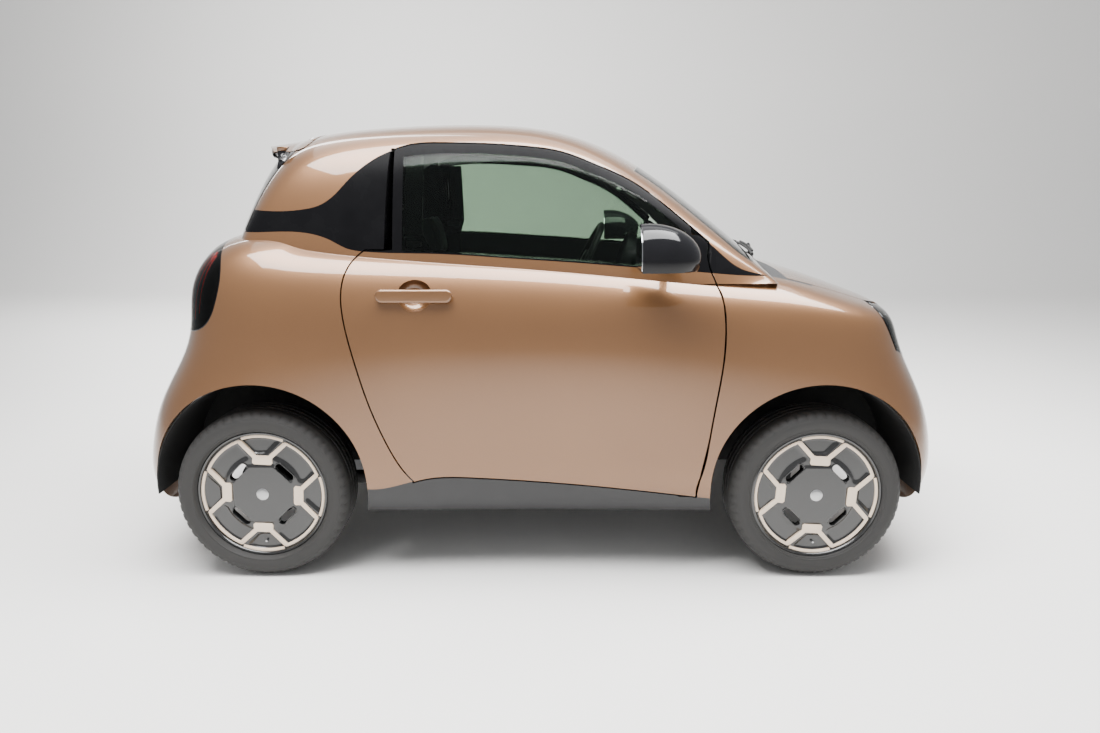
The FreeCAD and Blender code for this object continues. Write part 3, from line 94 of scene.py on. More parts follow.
class End(Enum):
    """An end of the car, as the sign of X."""

    FRONT = 1
    REAR = -1


# Shader helpers.


class Value:
    """A number inside a material's nodes, with the usual operators."""

    def __init__(self, graph: "Graph", socket: Any) -> None:
        """Keep the graph that makes new nodes, and the socket."""
        self.graph, self.socket = graph, socket

    def _math(self, operation: str, first: Any, second: Any = None) -> "Value":
        """Add one Math node and return its result."""
        inputs = {0: first} if second is None else {0: first, 1: second}
        return self.graph.value("ShaderNodeMath", {"operation": operation}, inputs)

    def __add__(self, other: Any) -> "Value":
        """Sum."""
        return self._math("ADD", self, other)

    __radd__ = __add__

    def __mul__(self, other: Any) -> "Value":
        """Product."""
        return self._math("MULTIPLY", self, other)

    __rmul__ = __mul__

    def __lt__(self, other: Any) -> "Value":
        """One where smaller, else zero."""
        return self._math("LESS_THAN", self, other)

    def sine(self) -> "Value":
        """Sine, from radians."""
        return self._math("SINE", self)

    def least(self, other: Any) -> "Value":
        """The smaller of two."""
        return self._math("MINIMUM", self, other)


class Graph:
    """The nodes of one material."""

    def __init__(self, name: str) -> None:
        """Start an empty material with its output node.

        Args:
            name: Name of the material.
        """
        self.material = bpy.data.materials.new(name)
        self.material.use_nodes = True
        self.tree = self.material.node_tree
        self.tree.nodes.clear()
        self.output = self.tree.nodes.new("ShaderNodeOutputMaterial")

    def node(self, kind: str, settings: dict[str, Any] | None = None,
             inputs: dict[Any, Any] | None = None) -> Any:
        """Add a node.

        Args:
            kind: The node's type name.
            settings: Attributes set before the sockets; "stops" sets a colour ramp.
            inputs: Values or links by socket name or index.

        Returns:
            The new node.
        """
        made = self.tree.nodes.new(kind)
        for key, value in (settings or {}).items():
            if key == "stops":
                ramp = made.color_ramp
                while len(ramp.elements) < len(value):
                    ramp.elements.new(0.5)
                for element, (place, colour) in zip(ramp.elements, value):
                    element.position, element.color = place, (*colour, 1.0)
            else:
                setattr(made, key, value)
        for key, value in (inputs or {}).items():
            target = made.inputs[key]
            if isinstance(value, Value):
                self.tree.links.new(value.socket, target)
            elif isinstance(value, bpy.types.NodeSocket):
                self.tree.links.new(value, target)
            else:
                target.default_value = value
        return made

    def value(self, kind: str, settings: dict[str, Any] | None = None,
              inputs: dict[Any, Any] | None = None, output: Any = 0) -> Value:
        """Add a node and wrap one of its outputs as a number."""
        return Value(self, self.node(kind, settings, inputs).outputs[output])

    def place(self) -> Any:
        """Object coordinates."""
        return self.node("ShaderNodeTexCoord").outputs["Object"]

    def axis(self, name: str) -> Value:
        """One object coordinate, in metres."""
        return self.value("ShaderNodeSeparateXYZ", None, {0: self.place()}, name)

    def noise(self, scale: float, detail: float = 2.0, stretch: Point = (1, 1, 1)) -> Value:
        """Smooth noise on object coordinates."""
        spot = self.node("ShaderNodeMapping", None, {"Vector": self.place(), "Scale": stretch})
        return self.value("ShaderNodeTexNoise", None,
                          {"Vector": spot.outputs[0], "Scale": scale, "Detail": detail})

    def cells(self, scale: float, stretch: Point = (1, 1, 1)) -> Value:
        """Distance to the nearest of scattered points."""
        spot = self.node("ShaderNodeMapping", None, {"Vector": self.place(), "Scale": stretch})
        return self.value("ShaderNodeTexVoronoi", None, {"Vector": spot.outputs[0], "Scale": scale})

    def blend(self, share: Any, first: Any, second: Any) -> Any:
        """Mix two colours and return the colour socket.

        Args:
            share: Share of the second colour.
            first: First colour.
            second: Second colour.

        Returns:
            The mixed colour.
        """
        made = self.node("ShaderNodeMix", {"data_type": "RGBA"}, {0: share})
        for index, colour in ((6, first), (7, second)):
            if isinstance(colour, bpy.types.NodeSocket):
                self.tree.links.new(colour, made.inputs[index])
            else:
                made.inputs[index].default_value = (*colour, 1.0)
        return made.outputs[2]

    def bump(self, height: Value, depth: float, strength: float = 1.0) -> Any:
        """A bumped normal."""
        return self.node("ShaderNodeBump", None,
                         {"Height": height, "Distance": depth, "Strength": strength}).outputs[0]

    def surface(self, **inputs: Any) -> Any:
        """Add the main shader and link it to the output. Underscores stand for spaces.

        Args:
            inputs: Values or links of the shader's inputs.

        Returns:
            The shader's node.
        """
        names = {key.replace("_", " "): value for key, value in inputs.items()}
        for key in ("Base Color", "Emission Color"):
            if key in names and isinstance(names[key], tuple):
                names[key] = (*names[key], 1.0)
        made = self.node("ShaderNodeBsdfPrincipled", None, names)
        self.tree.links.new(made.outputs[0], self.output.inputs[0])
        return made


# Finishes.


@dataclass(frozen=True)
class PearlPaint:
    """Champagne paint with fine flakes under a clear coat."""

    name: str = "pearl_paint"
    face: Point = (0.165, 0.075, 0.027)
    edge: Point = (0.12, 0.054, 0.020)
    flake: Point = (0.42, 0.22, 0.10)
    flake_scale: float = 900.0
    flake_size: float = 0.22
    flake_share: float = 0.35
    drift_share: float = 0.10
    lean: float = 0.35
    metallic: float = 0.55
    roughness: float = 0.34
    coat_roughness: float = 0.025

    def make(self) -> bpy.types.Material:
        """Build the material.

        Returns:
            The finish.
        """
        g = Graph(self.name)
        lean = g.value("ShaderNodeLayerWeight", None, {"Blend": self.lean}, "Facing")
        tone = g.blend(lean, self.face, self.edge)
        spark = (g.cells(self.flake_scale) < self.flake_size) * self.flake_share
        drift = g.noise(3.0, 1.0)
        colour = g.blend(spark, g.blend(drift * self.drift_share, tone, self.flake), self.flake)
        g.surface(Base_Color=colour, Metallic=self.metallic, Coat_Weight=1.0,
                  Roughness=self.roughness + 0.03 * g.noise(40.0), Coat_Roughness=self.coat_roughness)
        return g.material


@dataclass(frozen=True)
class Plastic:
    """Moulded plastic, from gloss to grained."""

    name: str
    colour: Point = (0.02, 0.02, 0.021)
    roughness: float = 0.5
    grain: float = 0.00015
    grain_scale: float = 900.0
    coat: float = 0.0
    specular: float = 0.5
    wear_scale: float = 14.0
    wear_share: float = 0.5
    wear_roughness: float = 0.06

    def make(self) -> bpy.types.Material:
        """Build the material.

        Returns:
            The finish.
        """
        g = Graph(self.name)
        wear = g.noise(self.wear_scale, 3.0)
        dust = tuple(min(1.0, part * 1.6 + 0.004) for part in self.colour)
        inputs: dict[str, Any] = {
            "Base_Color": g.blend(wear * self.wear_share, self.colour, dust),
            "Roughness": self.roughness + self.wear_roughness * wear,
            "Coat_Weight": self.coat, "Coat_Roughness": 0.03, "Specular_IOR_Level": self.specular}
        if self.grain:
            inputs["Normal"] = g.bump(g.cells(self.grain_scale), self.grain)
        g.surface(**inputs)
        return g.material


@dataclass(frozen=True)
class Metal:
    """Bare, cast or plated metal."""

    name: str
    colour: Point = (0.5, 0.5, 0.5)
    roughness: float = 0.35
    metallic: float = 1.0
    grain: float = 0.0
    grain_scale: float = 260.0
    blotch_scale: float = 22.0
    blotch_share: float = 0.6
    blotch_roughness: float = 0.12
    dulled: float = 0.6

    def make(self) -> bpy.types.Material:
        """Build the material.

        Returns:
            The finish.
        """
        g = Graph(self.name)
        blotch = g.noise(self.blotch_scale, 4.0)
        dull = tuple(part * self.dulled for part in self.colour)
        inputs: dict[str, Any] = {
            "Base_Color": g.blend(blotch * self.blotch_share, self.colour, dull),
            "Roughness": self.roughness + self.blotch_roughness * blotch, "Metallic": self.metallic}
        if self.grain:
            inputs["Normal"] = g.bump(g.noise(self.grain_scale, 3.0), self.grain)
        g.surface(**inputs)
        return g.material


@dataclass(frozen=True)
class Glass:
    """A pane that light passes straight through, with a tint and a clear reflection."""

    name: str
    tint: Point = (0.36, 0.42, 0.39)
    body: Point = (0.01, 0.012, 0.012)
    shine: float = 0.02
    ior: float = 1.5
    least: float = 0.05

    def make(self) -> bpy.types.Material:
        """Build the material.

        Returns:
            The finish.
        """
        g = Graph(self.name)
        clear = g.node("ShaderNodeBsdfTransparent", None, {"Color": (*self.tint, 1.0)})
        gloss = g.node("ShaderNodeBsdfPrincipled", None, {
            "Base Color": (*self.body, 1.0), "Roughness": self.shine, "Metallic": 0.0,
            "IOR": self.ior, "Coat Weight": 1.0, "Coat Roughness": 0.01})
        lean = g.value("ShaderNodeFresnel", None, {"IOR": self.ior})
        factor = (self.least + lean * (1.0 - self.least)).least(1.0)
        mixed = g.node("ShaderNodeMixShader", None,
                       {0: factor, 1: clear.outputs[0], 2: gloss.outputs[0]})
        g.tree.links.new(mixed.outputs[0], g.output.inputs[0])
        return g.material


@dataclass(frozen=True)
class Cloth:
    """Woven seat cloth."""

    name: str = "seat_cloth"
    colour: Point = (0.045, 0.045, 0.05)
    thread: Point = (0.10, 0.10, 0.105)
    pitch: float = 0.0018
    relief: float = 0.0004
    roughness: float = 0.85
    sheen: float = 0.4

    def make(self) -> bpy.types.Material:
        """Build the material.

        Returns:
            The finish.
        """
        g, turns = Graph(self.name), math.tau / self.pitch
        across = (g.axis("Y") * turns).sine()
        along = ((g.axis("Z") + g.axis("X")) * turns).sine()
        weave = (across * along + 1.0) * 0.5
        fuzz = g.noise(600.0, 2.0)
        colour = g.blend(weave * 0.5 + fuzz * 0.3, self.colour, self.thread)
        g.surface(Base_Color=colour, Roughness=self.roughness, Sheen_Weight=self.sheen,
                  Normal=g.bump(weave + fuzz * 0.4, self.relief))
        return g.material


@dataclass(frozen=True)
class Rubber:
    """Tyre rubber: dark, with dusty patches."""

    name: str = "tyre_rubber"
    colour: Point = (0.016, 0.016, 0.016)
    dust: Point = (0.055, 0.05, 0.045)
    dust_share: float = 0.35
    roughness: float = 0.62
    grain: float = 0.0002

    def make(self) -> bpy.types.Material:
        """Build the material.

        Returns:
            The finish.
        """
        g = Graph(self.name)
        film = g.noise(18.0, 4.0)
        g.surface(Base_Color=g.blend(film * self.dust_share, self.colour, self.dust),
                  Roughness=self.roughness + 0.2 * film, Normal=g.bump(g.noise(420.0, 3.0), self.grain))
        return g.material


class Paints:
    """Every finish by name, each made once."""

    def __init__(self) -> None:
        """List the finishes."""
        self.made: dict[str, bpy.types.Material] = {}
        self.recipes = {recipe.name: recipe for recipe in (
            PearlPaint(), Cloth(), Rubber(),
            Plastic("gloss_black", (0.004, 0.004, 0.005), 0.06, 0.0, specular=0.30),
            Plastic("frame_black", (0.0035, 0.0035, 0.004), 0.24, 0.0, specular=0.03),
            Plastic("trim_black", (0.018, 0.018, 0.019), 0.55),
            Plastic("liner_black", (0.010, 0.010, 0.010), 0.8, 0.0006, 260.0),
            Plastic("cabin_black", (0.022, 0.022, 0.024), 0.6),
            Plastic("cabin_grey", (0.11, 0.11, 0.115), 0.6),
            Plastic("seal_rubber", (0.012, 0.012, 0.012), 0.7, 0.0002),
            Plastic("wheel_black", (0.010, 0.010, 0.010), 0.20, 0.0, coat=0.6),
            Plastic("wheel_beige", (0.72, 0.55, 0.42), 0.35, 0.0, coat=0.4),
            Plastic("grip_leather", (0.02, 0.02, 0.02), 0.42, 0.0004, 420.0),
            Plastic("lamp_white", (0.85, 0.86, 0.88), 0.25, 0.0),
            Plastic("lamp_red", (0.62, 0.012, 0.010), 0.20, 0.0),
            Plastic("cabin_pale", (0.42, 0.41, 0.39), 0.8, 0.0004, 500.0),
            Plastic("belt_web", (0.028, 0.028, 0.030), 0.7, 0.0003, 700.0),
            Plastic("pack_case", (0.05, 0.05, 0.052), 0.5),
            Plastic("plate_blank", (0.75, 0.75, 0.72), 0.4, 0.0),
            Metal("chrome", (0.82, 0.82, 0.83), 0.06),
            Metal("bright_steel", (0.5, 0.5, 0.5), 0.32),
            Metal("cast_iron", (0.06, 0.06, 0.06), 0.6, 0.7, 0.0005),
            Metal("cast_aluminium", (0.5, 0.51, 0.52), 0.42, 1.0, 0.0004),
            Metal("primer_grey", (0.10, 0.10, 0.10), 0.55, 0.2, 0.0002),
            Metal("mirror_glass", (0.8, 0.82, 0.84), 0.02),
            Glass("window_clear", (0.84, 0.88, 0.85)), Glass("window_dark", (0.68, 0.76, 0.69)),
            Glass("window_rear", (0.30, 0.33, 0.33)), Glass("lamp_clear", (0.95, 0.96, 0.97)),
            Glass("lamp_smoke", (0.44, 0.30, 0.29)),
        )}

    def __getitem__(self, name: str) -> bpy.types.Material:
        """The material of that name, made at its first use."""
        if name not in self.made:
            self.made[name] = self.recipes[name].make()
        return self.made[name]


# The body's two smooth surfaces. A level of the lower body is its height at the tail, behind and ahead of
# the door and at the nose, how far its tail, rear, door, front and nose reach, and the corners' roundness.
# A section of the cabin is where its foot and its crown lie, its top, and half its width at belt and rail.
# All are shares of the car's half length, half width and height.


LEVELS = (
    (0.126, 0.126, 0.126, 0.126, 0.879, 0.821, 0.809, 0.821, 0.879, 0.071, 0.071),
    (0.138, 0.129, 0.129, 0.138, 0.974, 0.922, 0.874, 0.922, 0.975, 0.071, 0.071),
    (0.193, 0.186, 0.186, 0.193, 1.005, 1.011, 0.955, 1.007, 1.001, 0.071, 0.064),
    (0.289, 0.277, 0.277, 0.289, 0.999, 1.011, 0.961, 1.007, 1.002, 0.078, 0.064),
    (0.386, 0.367, 0.367, 0.386, 0.965, 1.011, 0.979, 1.007, 0.977, 0.071, 0.071),
    (0.476, 0.457, 0.457, 0.473, 0.900, 1.002, 0.995, 1.002, 0.921, 0.071, 0.071),
    (0.547, 0.540, 0.537, 0.534, 0.873, 0.992, 0.992, 0.988, 0.899, 0.071, 0.071),
    (0.627, 0.611, 0.598, 0.582, 0.879, 0.968, 0.971, 0.961, 0.886, 0.071, 0.071),
    (0.698, 0.672, 0.643, 0.611, 0.850, 0.920, 0.920, 0.896, 0.794, 0.078, 0.085),
    (0.749, 0.704, 0.666, 0.666, 0.773, 0.841, 0.859, 0.800, 0.624, 0.092, 0.099),
    (0.749, 0.701, 0.662, 0.675, 0.673, 0.722, 0.770, 0.673, 0.510, 0.099, 0.099),
    (0.630, 0.630, 0.630, 0.630, 0.567, 0.601, 0.649, 0.577, 0.425, 0.099, 0.099),
)
SECTIONS = (
    (-0.734, -0.822, 0.643, 0.841, 0.769),
    (-0.734, -0.822, 0.682, 0.841, 0.769),
    (-0.702, -0.804, 0.759, 0.847, 0.769),
    (-0.638, -0.751, 0.875, 0.859, 0.745),
    (-0.546, -0.680, 0.962, 0.871, 0.722),
    (-0.397, -0.425, 0.985, 0.883, 0.716),
    (-0.177, -0.177, 0.994, 0.889, 0.722),
    (0.028, 0.043, 0.985, 0.891, 0.722),
    (0.170, 0.220, 0.926, 0.891, 0.727),
    (0.298, 0.354, 0.846, 0.891, 0.751),
    (0.425, 0.489, 0.752, 0.889, 0.787),
    (0.535, 0.595, 0.669, 0.883, 0.830),
    (0.560, 0.624, 0.643, 0.877, 0.841),
)
BASE_SHARE = 0.643


def lower_poles() -> np.ndarray:
    """Control points of the lower body, ring by ring: (around, level, 3).

    Returns:
        The control points.
    """
    lines = []
    for z_tail, z_back, z_fore, z_nose, tail, rear, door, front, nose, tail_r, nose_r in LEVELS:
        z_tail, z_back, z_fore, z_nose = (z * TALL for z in (z_tail, z_back, z_fore, z_nose))
        tail, nose, tail_r, nose_r = (share * HALF_LENGTH for share in (-tail, nose, tail_r, nose_r))
        rear, door, front = (share * HALF_WIDTH for share in (rear, door, front))
        back, fore = min(1, -tail / (0.85 * HALF_LENGTH)), min(1, nose / (0.921 * HALF_LENGTH))
        run = 0.205 * HALF_LENGTH
        half = [
            (tail, 0, z_tail), (tail, 0.42 * rear, z_tail), (tail + 0.25 * tail_r, 0.72 * rear, z_tail),
            (tail + tail_r, 0.965 * rear, z_tail), (tail + run * back, rear, 0.7 * z_tail + 0.3 * z_back),
            (-0.936 * AXLE * back, rear, 0.4 * z_tail + 0.6 * z_back),
            (-0.534 * AXLE * back, 0.4 * rear + 0.6 * door, z_back),
            (-0.182 * AXLE * back, door, 0.67 * z_back + 0.33 * z_fore),
            (0.182 * AXLE * fore, door, 0.33 * z_back + 0.67 * z_fore),
            (0.534 * AXLE * fore, 0.6 * door + 0.4 * front, z_fore),
            (0.936 * AXLE * fore, front, 0.4 * z_nose + 0.6 * z_fore),
            (nose - run * fore, front, 0.7 * z_nose + 0.3 * z_fore), (nose - nose_r, 0.965 * front, z_nose),
            (nose - 0.25 * nose_r, 0.72 * front, z_nose), (nose, 0.42 * front, z_nose), (nose, 0, z_nose),
        ]
        lines.append(half + [(x, -y, z) for x, y, z in half[-2:0:-1]])
    return np.array(lines).transpose(1, 0, 2)


def cabin_poles() -> np.ndarray:
    """Control points of the cabin, section by section: (along, across, 3).

    Returns:
        The control points.
    """
    base, sections = BASE_SHARE * TALL, []
    for side, mid, top, belt, rail in SECTIONS:
        side, mid = side * HALF_LENGTH, mid * HALF_LENGTH
        belt, rail = belt * HALF_WIDTH, rail * HALF_WIDTH
        rise = top * TALL - base
        half = [
            (side, belt, 0), (side, 0.985 * belt, 0.16 * rise), (side, (belt + rail) / 2, 0.56 * rise),
            (0.95 * side + 0.05 * mid, rail, 0.87 * rise),
            (0.65 * side + 0.35 * mid, 0.78 * rail, 0.965 * rise),
            (0.12 * side + 0.88 * mid, 0.36 * rail, rise), (mid, 0, rise),
        ]
        half = [(x, y, base + z) for x, y, z in half]
        sections.append(half + [(x, -y, z) for x, y, z in half[-2::-1]])
    return np.array(sections)


class Spline:
    """One direction of a cubic surface with evenly spaced spans."""

    def __init__(self, count: int, ring: bool) -> None:
        """Set up the knots for that many control points, closed in a ring or clamped at both ends.

        Args:
            count: Number of control points.
            ring: Whether they close in a ring.
        """
        self.count, self.ring = count, ring
        self.spans = count if ring else count - 3
        self.knots = (np.arange(-3, count + 4) / count if ring
                      else np.concatenate([[0.0] * 3, np.linspace(0, 1, count - 2), [1.0] * 3]))

    def weights(self, at: np.ndarray) -> tuple[np.ndarray, np.ndarray, np.ndarray]:
        """Weights of the four control points that shape each place.

        Args:
            at: Places from 0 to 1.

        Returns:
            The control points' numbers, their weights and the weights' slopes, four to a place.
        """
        at = at % 1.0 if self.ring else np.clip(at, 0.0, 1.0)
        span = np.clip((at * self.spans).astype(int), 0, self.spans - 1)
        low = span + 3
        knots, levels = self.knots, [np.ones((len(at), 1))]
        for degree in (1, 2, 3):
            previous, current = levels[-1], np.zeros((len(at), degree + 1))
            for index in range(degree):
                right = knots[low + index + 1] - at
                left = at - knots[low + index + 1 - degree]
                part = previous[:, index] / (right + left)
                current[:, index] += right * part
                current[:, index + 1] += left * part
            levels.append(current)
        slopes = np.zeros((len(at), 4))
        for index in range(3):
            width = knots[low + index + 1] - knots[low + index - 2]
            part = 3 * levels[2][:, index] / width
            slopes[:, index] -= part
            slopes[:, index + 1] += part
        numbers = span[:, None] + np.arange(4)[None, :]
        return (numbers - 1) % self.count if self.ring else numbers, levels[3], slopes


class SmoothSurface:
    """A cubic surface that finds the nearest place to a point and its exact normal there."""

    AROUND, ALONG = 280, 140
    STEPS, LONGEST = 6, 0.02

    def __init__(self, poles: np.ndarray, ring: bool) -> None:
        """Sample the surface for first guesses.

        Args:
            poles: Control points in rows.
            ring: Whether the first direction closes in a ring.
        """
        self.poles = poles
        self.first, self.second = Spline(poles.shape[0], ring), Spline(poles.shape[1], False)
        u, v = np.meshgrid(np.linspace(0, 1, self.AROUND, endpoint=not ring),
                           np.linspace(0.0, 1.0, self.ALONG), indexing="ij")
        self.u, self.v = u.ravel(), v.ravel()
        self.samples = self.at(self.u, self.v)[0]
        self.tree = KDTree(len(self.samples))
        for index, spot in enumerate(self.samples):
            self.tree.insert(spot, index)
        self.tree.balance()

    def at(self, u: np.ndarray, v: np.ndarray) -> tuple[np.ndarray, np.ndarray, np.ndarray]:
        """Places and the two directions along the surface.

        Args:
            u: Places along the first direction.
            v: Places along the second.

        Returns:
            The points, then the two directions.
        """
        (iu, wu, su), (iv, wv, sv) = self.first.weights(u), self.second.weights(v)
        near = self.poles[iu[:, :, None], iv[:, None, :]]
        return (np.einsum("ma,mb,mabk->mk", wu, wv, near), np.einsum("ma,mb,mabk->mk", su, wv, near),
                np.einsum("ma,mb,mabk->mk", wu, sv, near))

    def nearest(self, points: np.ndarray) -> tuple[np.ndarray, np.ndarray]:
        """Distance from each point to the surface, and the unit normal at the nearest place.

        Args:
            points: Points in rows.

        Returns:
            The distances and the normals.
        """
        guess = np.array([self.tree.find(point)[1] for point in points], dtype=int)
        u, v = self.u[guess].copy(), self.v[guess].copy()
        for _ in range(self.STEPS):
            spot, du, dv = self.at(u, v)
            gap = points - spot
            a, b, c = (du * du).sum(1), (du * dv).sum(1), (dv * dv).sum(1)
            e, f = (gap * du).sum(1), (gap * dv).sum(1)
            scale = np.maximum(a * c - b * b, 1e-12)
            u = u + np.clip((c * e - b * f) / scale, -self.LONGEST, self.LONGEST)
            v = np.clip(v + np.clip((a * f - b * e) / scale, -self.LONGEST, self.LONGEST), 0.0, 1.0)
        spot, du, dv = self.at(u, v)
        normal = np.cross(du, dv)
        normal /= np.maximum(np.linalg.norm(normal, axis=1, keepdims=True), 1e-12)
        return np.linalg.norm(points - spot, axis=1), normal


def places_of(mesh: bpy.types.Mesh) -> np.ndarray:
    """A mesh's points, one to a row."""
    places = np.zeros(len(mesh.vertices) * 3)
    mesh.vertices.foreach_get("co", places)
    return places.reshape(-1, 3)


class BodySkin:
    """Gives panels the exact normals of the body's smooth surfaces, so that reflections run true."""

    def __init__(self) -> None:
        """Set up the lower body and the cabin."""
        self.surfaces = (SmoothSurface(lower_poles(), True), SmoothSurface(cabin_poles(), False))

    def away(self, mesh: bpy.types.Mesh) -> np.ndarray:
        """Distance from each of a mesh's points to the nearer surface."""
        points = places_of(mesh)
        return np.min([surface.nearest(points)[0] for surface in self.surfaces], axis=0)

    def smooth(self, mesh: bpy.types.Mesh, reach: float = 0.0006, turn: float = 0.90) -> None:
        """Set a mesh's corner normals.

        Args:
            mesh: The mesh, merged and shaded smooth by angle.
            reach: How far a corner may be from the surface, in metres.
            turn: The least agreement between a face and the surface, as a cosine.
        """
        points, corners = places_of(mesh), np.zeros(len(mesh.loops), dtype=np.int32)
        mesh.loops.foreach_get("vertex_index", corners)
        normals = np.zeros(len(mesh.loops) * 3)
        mesh.corner_normals.foreach_get("vector", normals)
        normals = normals.reshape(-1, 3)
        flat = np.repeat(np.array([face.normal for face in mesh.polygons]),
                         [face.loop_total for face in mesh.polygons], axis=0)
        best = np.full(len(corners), turn)
        for surface in self.surfaces:
            away, exact = surface.nearest(points)
            candidate = exact[corners]
            candidate *= np.sign((candidate * flat).sum(1, keepdims=True))
            match = np.where(away[corners] < reach, (candidate * flat).sum(1), -1.0)
            better = match > best
            normals[better], best[better] = candidate[better], match[better]
        mesh.normals_split_custom_set(normals.tolist())


# Mesh helpers.


def new_object(name: str, mesh: bpy.types.Mesh, material: bpy.types.Material) -> bpy.types.Object:
    """Link a mesh as an object with one material.

    Args:
        name: Name of the piece.
        mesh: Its mesh.
        material: Its finish.

    Returns:
        The object.
    """
    mesh.materials.clear()
    mesh.materials.append(material)
    made = bpy.data.objects.new(name, mesh)
    bpy.context.scene.collection.objects.link(made)
    return made


def opened(mesh: bpy.types.Mesh) -> bmesh.types.BMesh:
    """A mesh as a bmesh."""
    bm = bmesh.new()
    bm.from_mesh(mesh)
    return bm


def closed_up(bm: bmesh.types.BMesh, name: str) -> bpy.types.Mesh:
    """A bmesh as a mesh.

    Args:
        bm: The shape, freed here.
        name: Name of the mesh.

    Returns:
        The mesh.
    """
    mesh = bpy.data.meshes.new(name)
    bm.to_mesh(mesh)
    bm.free()
    return mesh


def plain_mesh(bm: bmesh.types.BMesh, name: str) -> bpy.types.Mesh:
    """A bmesh as a mesh without the normals that it was packed with.

    Args:
        bm: The shape, freed here.
        name: Name of the mesh.

    Returns:
        The mesh.
    """
    mesh = closed_up(bm, name)
    if mesh.has_custom_normals:
        mesh.normals_split_custom_set([(0.0, 0.0, 0.0)] * len(mesh.loops))
    return mesh


def smoothed(mesh: bpy.types.Mesh, angle: float) -> bpy.types.Mesh:
    """Shade a mesh smooth up to an angle.

    Args:
        mesh: The mesh to shade.
        angle: Sharpest angle in radians that is still smooth.

    Returns:
        The same mesh.
    """
    for face in mesh.polygons:
        face.use_smooth = True
    mesh.set_sharp_from_angle(angle=angle)
    return mesh


def mesh_from(bm: bmesh.types.BMesh, name: str, smooth_angle: float = 0.6,
              merge: float = CUT) -> bpy.types.Mesh:
    """Turn a bmesh into a mesh with outward faces.

    Args:
        bm: The shape, which is freed.
        name: The mesh's name.
        smooth_angle: The angle up to which it is shaded smooth.
        merge: Distance under which its points become one; 0 keeps loose parts apart.

    Returns:
        The mesh.
    """
    if merge:
        bmesh.ops.remove_doubles(bm, verts=bm.verts, dist=merge)
    bmesh.ops.recalc_face_normals(bm, faces=bm.faces)
    return smoothed(closed_up(bm, name), smooth_angle)


def band(bm: bmesh.types.BMesh, rows: Sequence[Sequence[Any]], closed: bool) -> None:
    """Add the faces between rows of points.

    Args:
        bm: The shape that holds the points.
        rows: The points, row by row.
        closed: Whether each row joins up with its own start.
    """
    for low, high in zip(rows, rows[1:]):
        for k in range(len(low) if closed else len(low) - 1):
            after = (k + 1) % len(low)
            bm.faces.new((low[k], low[after], high[after], high[k]))


def lathe(profile: Sequence[tuple[float, float]], steps: int, centre: Point,
          closed: bool = False) -> bmesh.types.BMesh:
    """Turn a profile about an axis along Y.

    Args:
        profile: Radius and offset along Y of each point.
        steps: Faces round the axis.
        centre: A point on the axis.
        closed: Whether the profile joins up.

    Returns:
        The turned shape.
    """
    bm, rings = bmesh.new(), []
    turns = [math.tau * k / steps for k in range(steps)]
    for radius, offset in profile:
        rings.append([bm.verts.new((centre[0] + radius * math.cos(turn), centre[1] + offset,
                                    centre[2] + radius * math.sin(turn))) for turn in turns])
    band(bm, rings + rings[:1] if closed else rings, True)
    return bm


def joined(parts: Iterable[bmesh.types.BMesh]) -> bmesh.types.BMesh:
    """Several shapes as one bmesh, without merging them.

    Args:
        parts: The shapes, freed here.

    Returns:
        The one shape.
    """
    whole = bmesh.new()
    for part in parts:
        mesh = closed_up(part, "scratch")
        whole.from_mesh(mesh)
        bpy.data.meshes.remove(mesh)
    return whole


def walled(piece: bpy.types.Object, thickness: float, offset: float) -> bpy.types.Object:
    """Add a sheet's wall: outwards with an offset of 1, inwards with -1 and both ways with 0."""
    wall = piece.modifiers.new("wall", "SOLIDIFY")
    wall.thickness, wall.offset = thickness, offset
    return piece


def finish_modifiers(piece: bpy.types.Object, bevel: float = 0.0, subdivide: int = 0,
                     segments: int = 2) -> None:
    """Round a piece's edges and smooth it, and bake that into its mesh.

    Args:
        piece: The piece.
        bevel: The roundings' width.
        subdivide: How many times its faces are divided.
        segments: Faces across a rounding.
    """
    if bevel:
        rounded = piece.modifiers.new("rounded", "BEVEL")
        rounded.width, rounded.segments = bevel, segments
        rounded.limit_method, rounded.angle_limit = "ANGLE", 0.6
    if subdivide:
        fine = piece.modifiers.new("fine", "SUBSURF")
        fine.levels = fine.render_levels = subdivide
    bake(piece)


def bake(piece: bpy.types.Object) -> None:
    """Replace a piece's mesh by what its modifiers make of it.

    Args:
        piece: The object, left with no modifier.
    """
    graph = bpy.context.evaluated_depsgraph_get()
    made = bpy.data.meshes.new_from_object(piece.evaluated_get(graph))
    piece.modifiers.clear()
    piece.data = made


def tube(points: Sequence[Any], radius: float, sides: int = 10) -> bmesh.types.BMesh:
    """A closed round tube.

    Args:
        points: The line that it follows.
        radius: Its radius.
        sides: Faces round it.

    Returns:
        The tube.
    """
    bm, line, rings = bmesh.new(), [Vector(point) for point in points], []
    turns, across = [math.tau * k / sides for k in range(sides)], None
    for index, spot in enumerate(line):
        ahead = (line[min(index + 1, len(line) - 1)] - line[max(index - 1, 0)]).normalized()
        across = ahead.orthogonal() if across is None else across - ahead * across.dot(ahead)
        across.normalize()
        other = ahead.cross(across)
        rings.append([bm.verts.new(spot + radius * (across * math.cos(turn) + other * math.sin(turn)))
                      for turn in turns])
    band(bm, rings, True)
    bm.faces.new(rings[0][::-1])
    bm.faces.new(rings[-1])
    return bm


